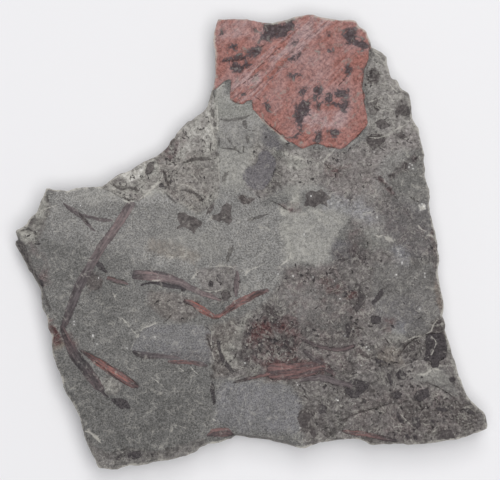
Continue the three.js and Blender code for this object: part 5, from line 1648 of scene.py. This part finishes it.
def make_crumbs(name, plate, tree, sockets, finish):
    """One sort of the crumbs that lie on the plate's broken ground, as one mesh."""
    piece = link(name, plate.data.copy())
    sort = SCATTERED[name]
    scattering = piece.modifiers.new("scattering", "NODES")
    scattering.node_group = tree
    for socket, value in (
            ("Cover", sort["cover"]), ("Per square metre", sort["per_square_metre"]),
            ("Smallest", sort["smallest"]), ("Largest", sort["largest"]), ("Corners", sort["corners"]),
            ("Taper", sort["taper"]), ("Carbon", sort["carbon"]), ("Seed", SEED), ("Finish", finish)):
        scattering[sockets[socket]] = value
    evaluated = piece.evaluated_get(bpy.context.evaluated_depsgraph_get())
    mesh = bpy.data.meshes.new_from_object(evaluated)
    piece.modifiers.remove(scattering)
    piece.data = mesh
    vertices = np.empty(3 * len(mesh.vertices))
    mesh.vertices.foreach_get("co", vertices)
    vertices = into_the_box(vertices.reshape(-1, 3) / MM) * MM
    mesh.vertices.foreach_set("co", vertices.ravel())
    mesh.update()
    return piece


def table_material():
    """White laminate, matt: an even pale sheet with the faintest cloudiness."""
    material = bpy.data.materials.new("white_laminate_matt")
    material.use_nodes = True
    tree = material.node_tree
    tree.nodes.clear()
    cloud = add(tree, "ShaderNodeTexNoise", {
        "Vector": add(tree, "ShaderNodeTexCoord", output="Object"), "Scale": 6.0, "Detail": 2.0})
    tint = add(tree, "ShaderNodeMix", {"Factor": cloud, "A": "#e9e9ea", "B": "#ececee"}, data_type="RGBA")
    skin = add(tree, "ShaderNodeBsdfPrincipled", {"Base Color": tint, "Roughness": 0.7})
    add(tree, "ShaderNodeOutputMaterial", {"Surface": skin})
    return material


def make_table():
    mesh = bpy.data.meshes.new("table")
    corners = [(x * TABLE_REACH, y * TABLE_REACH, 0) for x, y in ((-1, -1), (1, -1), (1, 1), (-1, 1))]
    mesh.from_pydata(corners, [], [(0, 1, 2, 3)])
    mesh.materials.append(table_material())
    link("table", mesh)


def make_camera():
    """Straight above the plate, far off with a long lens, framed as the photograph is."""
    data = bpy.data.cameras.new("camera")
    data.lens = LENS
    data.sensor_width = SENSOR
    data.clip_start, data.clip_end = 0.01, 10
    camera = link("camera", data)
    centre = to_plate(as_points([PHOTO_SIZE]) / 2)[0]
    away = PHOTO_SIZE[0] * MM_PER_PIXEL * LENS / SENSOR
    camera.location = (centre[0] * MM, centre[1] * MM, (BED_HEIGHT + away) * MM)
    bpy.context.scene.camera = camera


def light_the_table():
    for name, light in LIGHTS.items():
        data = bpy.data.lights.new(name, "AREA")
        data.shape = "DISK"
        data.size = light["size"]
        data.energy = light["power"]
        data.color = LAMP_COLOUR
        lamp = link(name, data)
        lamp.location = light["place"]
        lamp.rotation_euler = (-Vector(light["place"])).to_track_quat("-Z", "Y").to_euler()
    world = bpy.data.worlds.new("room")
    world.use_nodes = True
    background = world.node_tree.nodes["Background"]
    background.inputs["Color"].default_value = linear(ROOM_COLOUR)
    background.inputs["Strength"].default_value = ROOM_LIGHT
    bpy.context.scene.world = world
    bpy.context.scene.view_settings.view_transform = "Standard"


finish = stone_material()
plate = make_plate()
plate.data.materials.append(finish)
tree, sockets = crumb_tree()
loose = [make_crumbs(name, plate, tree, sockets, finish) for name in SCATTERED]
for piece in (plate, *loose):
    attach(piece, "root")
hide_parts(NODE)
make_table()
make_camera()
light_the_table()
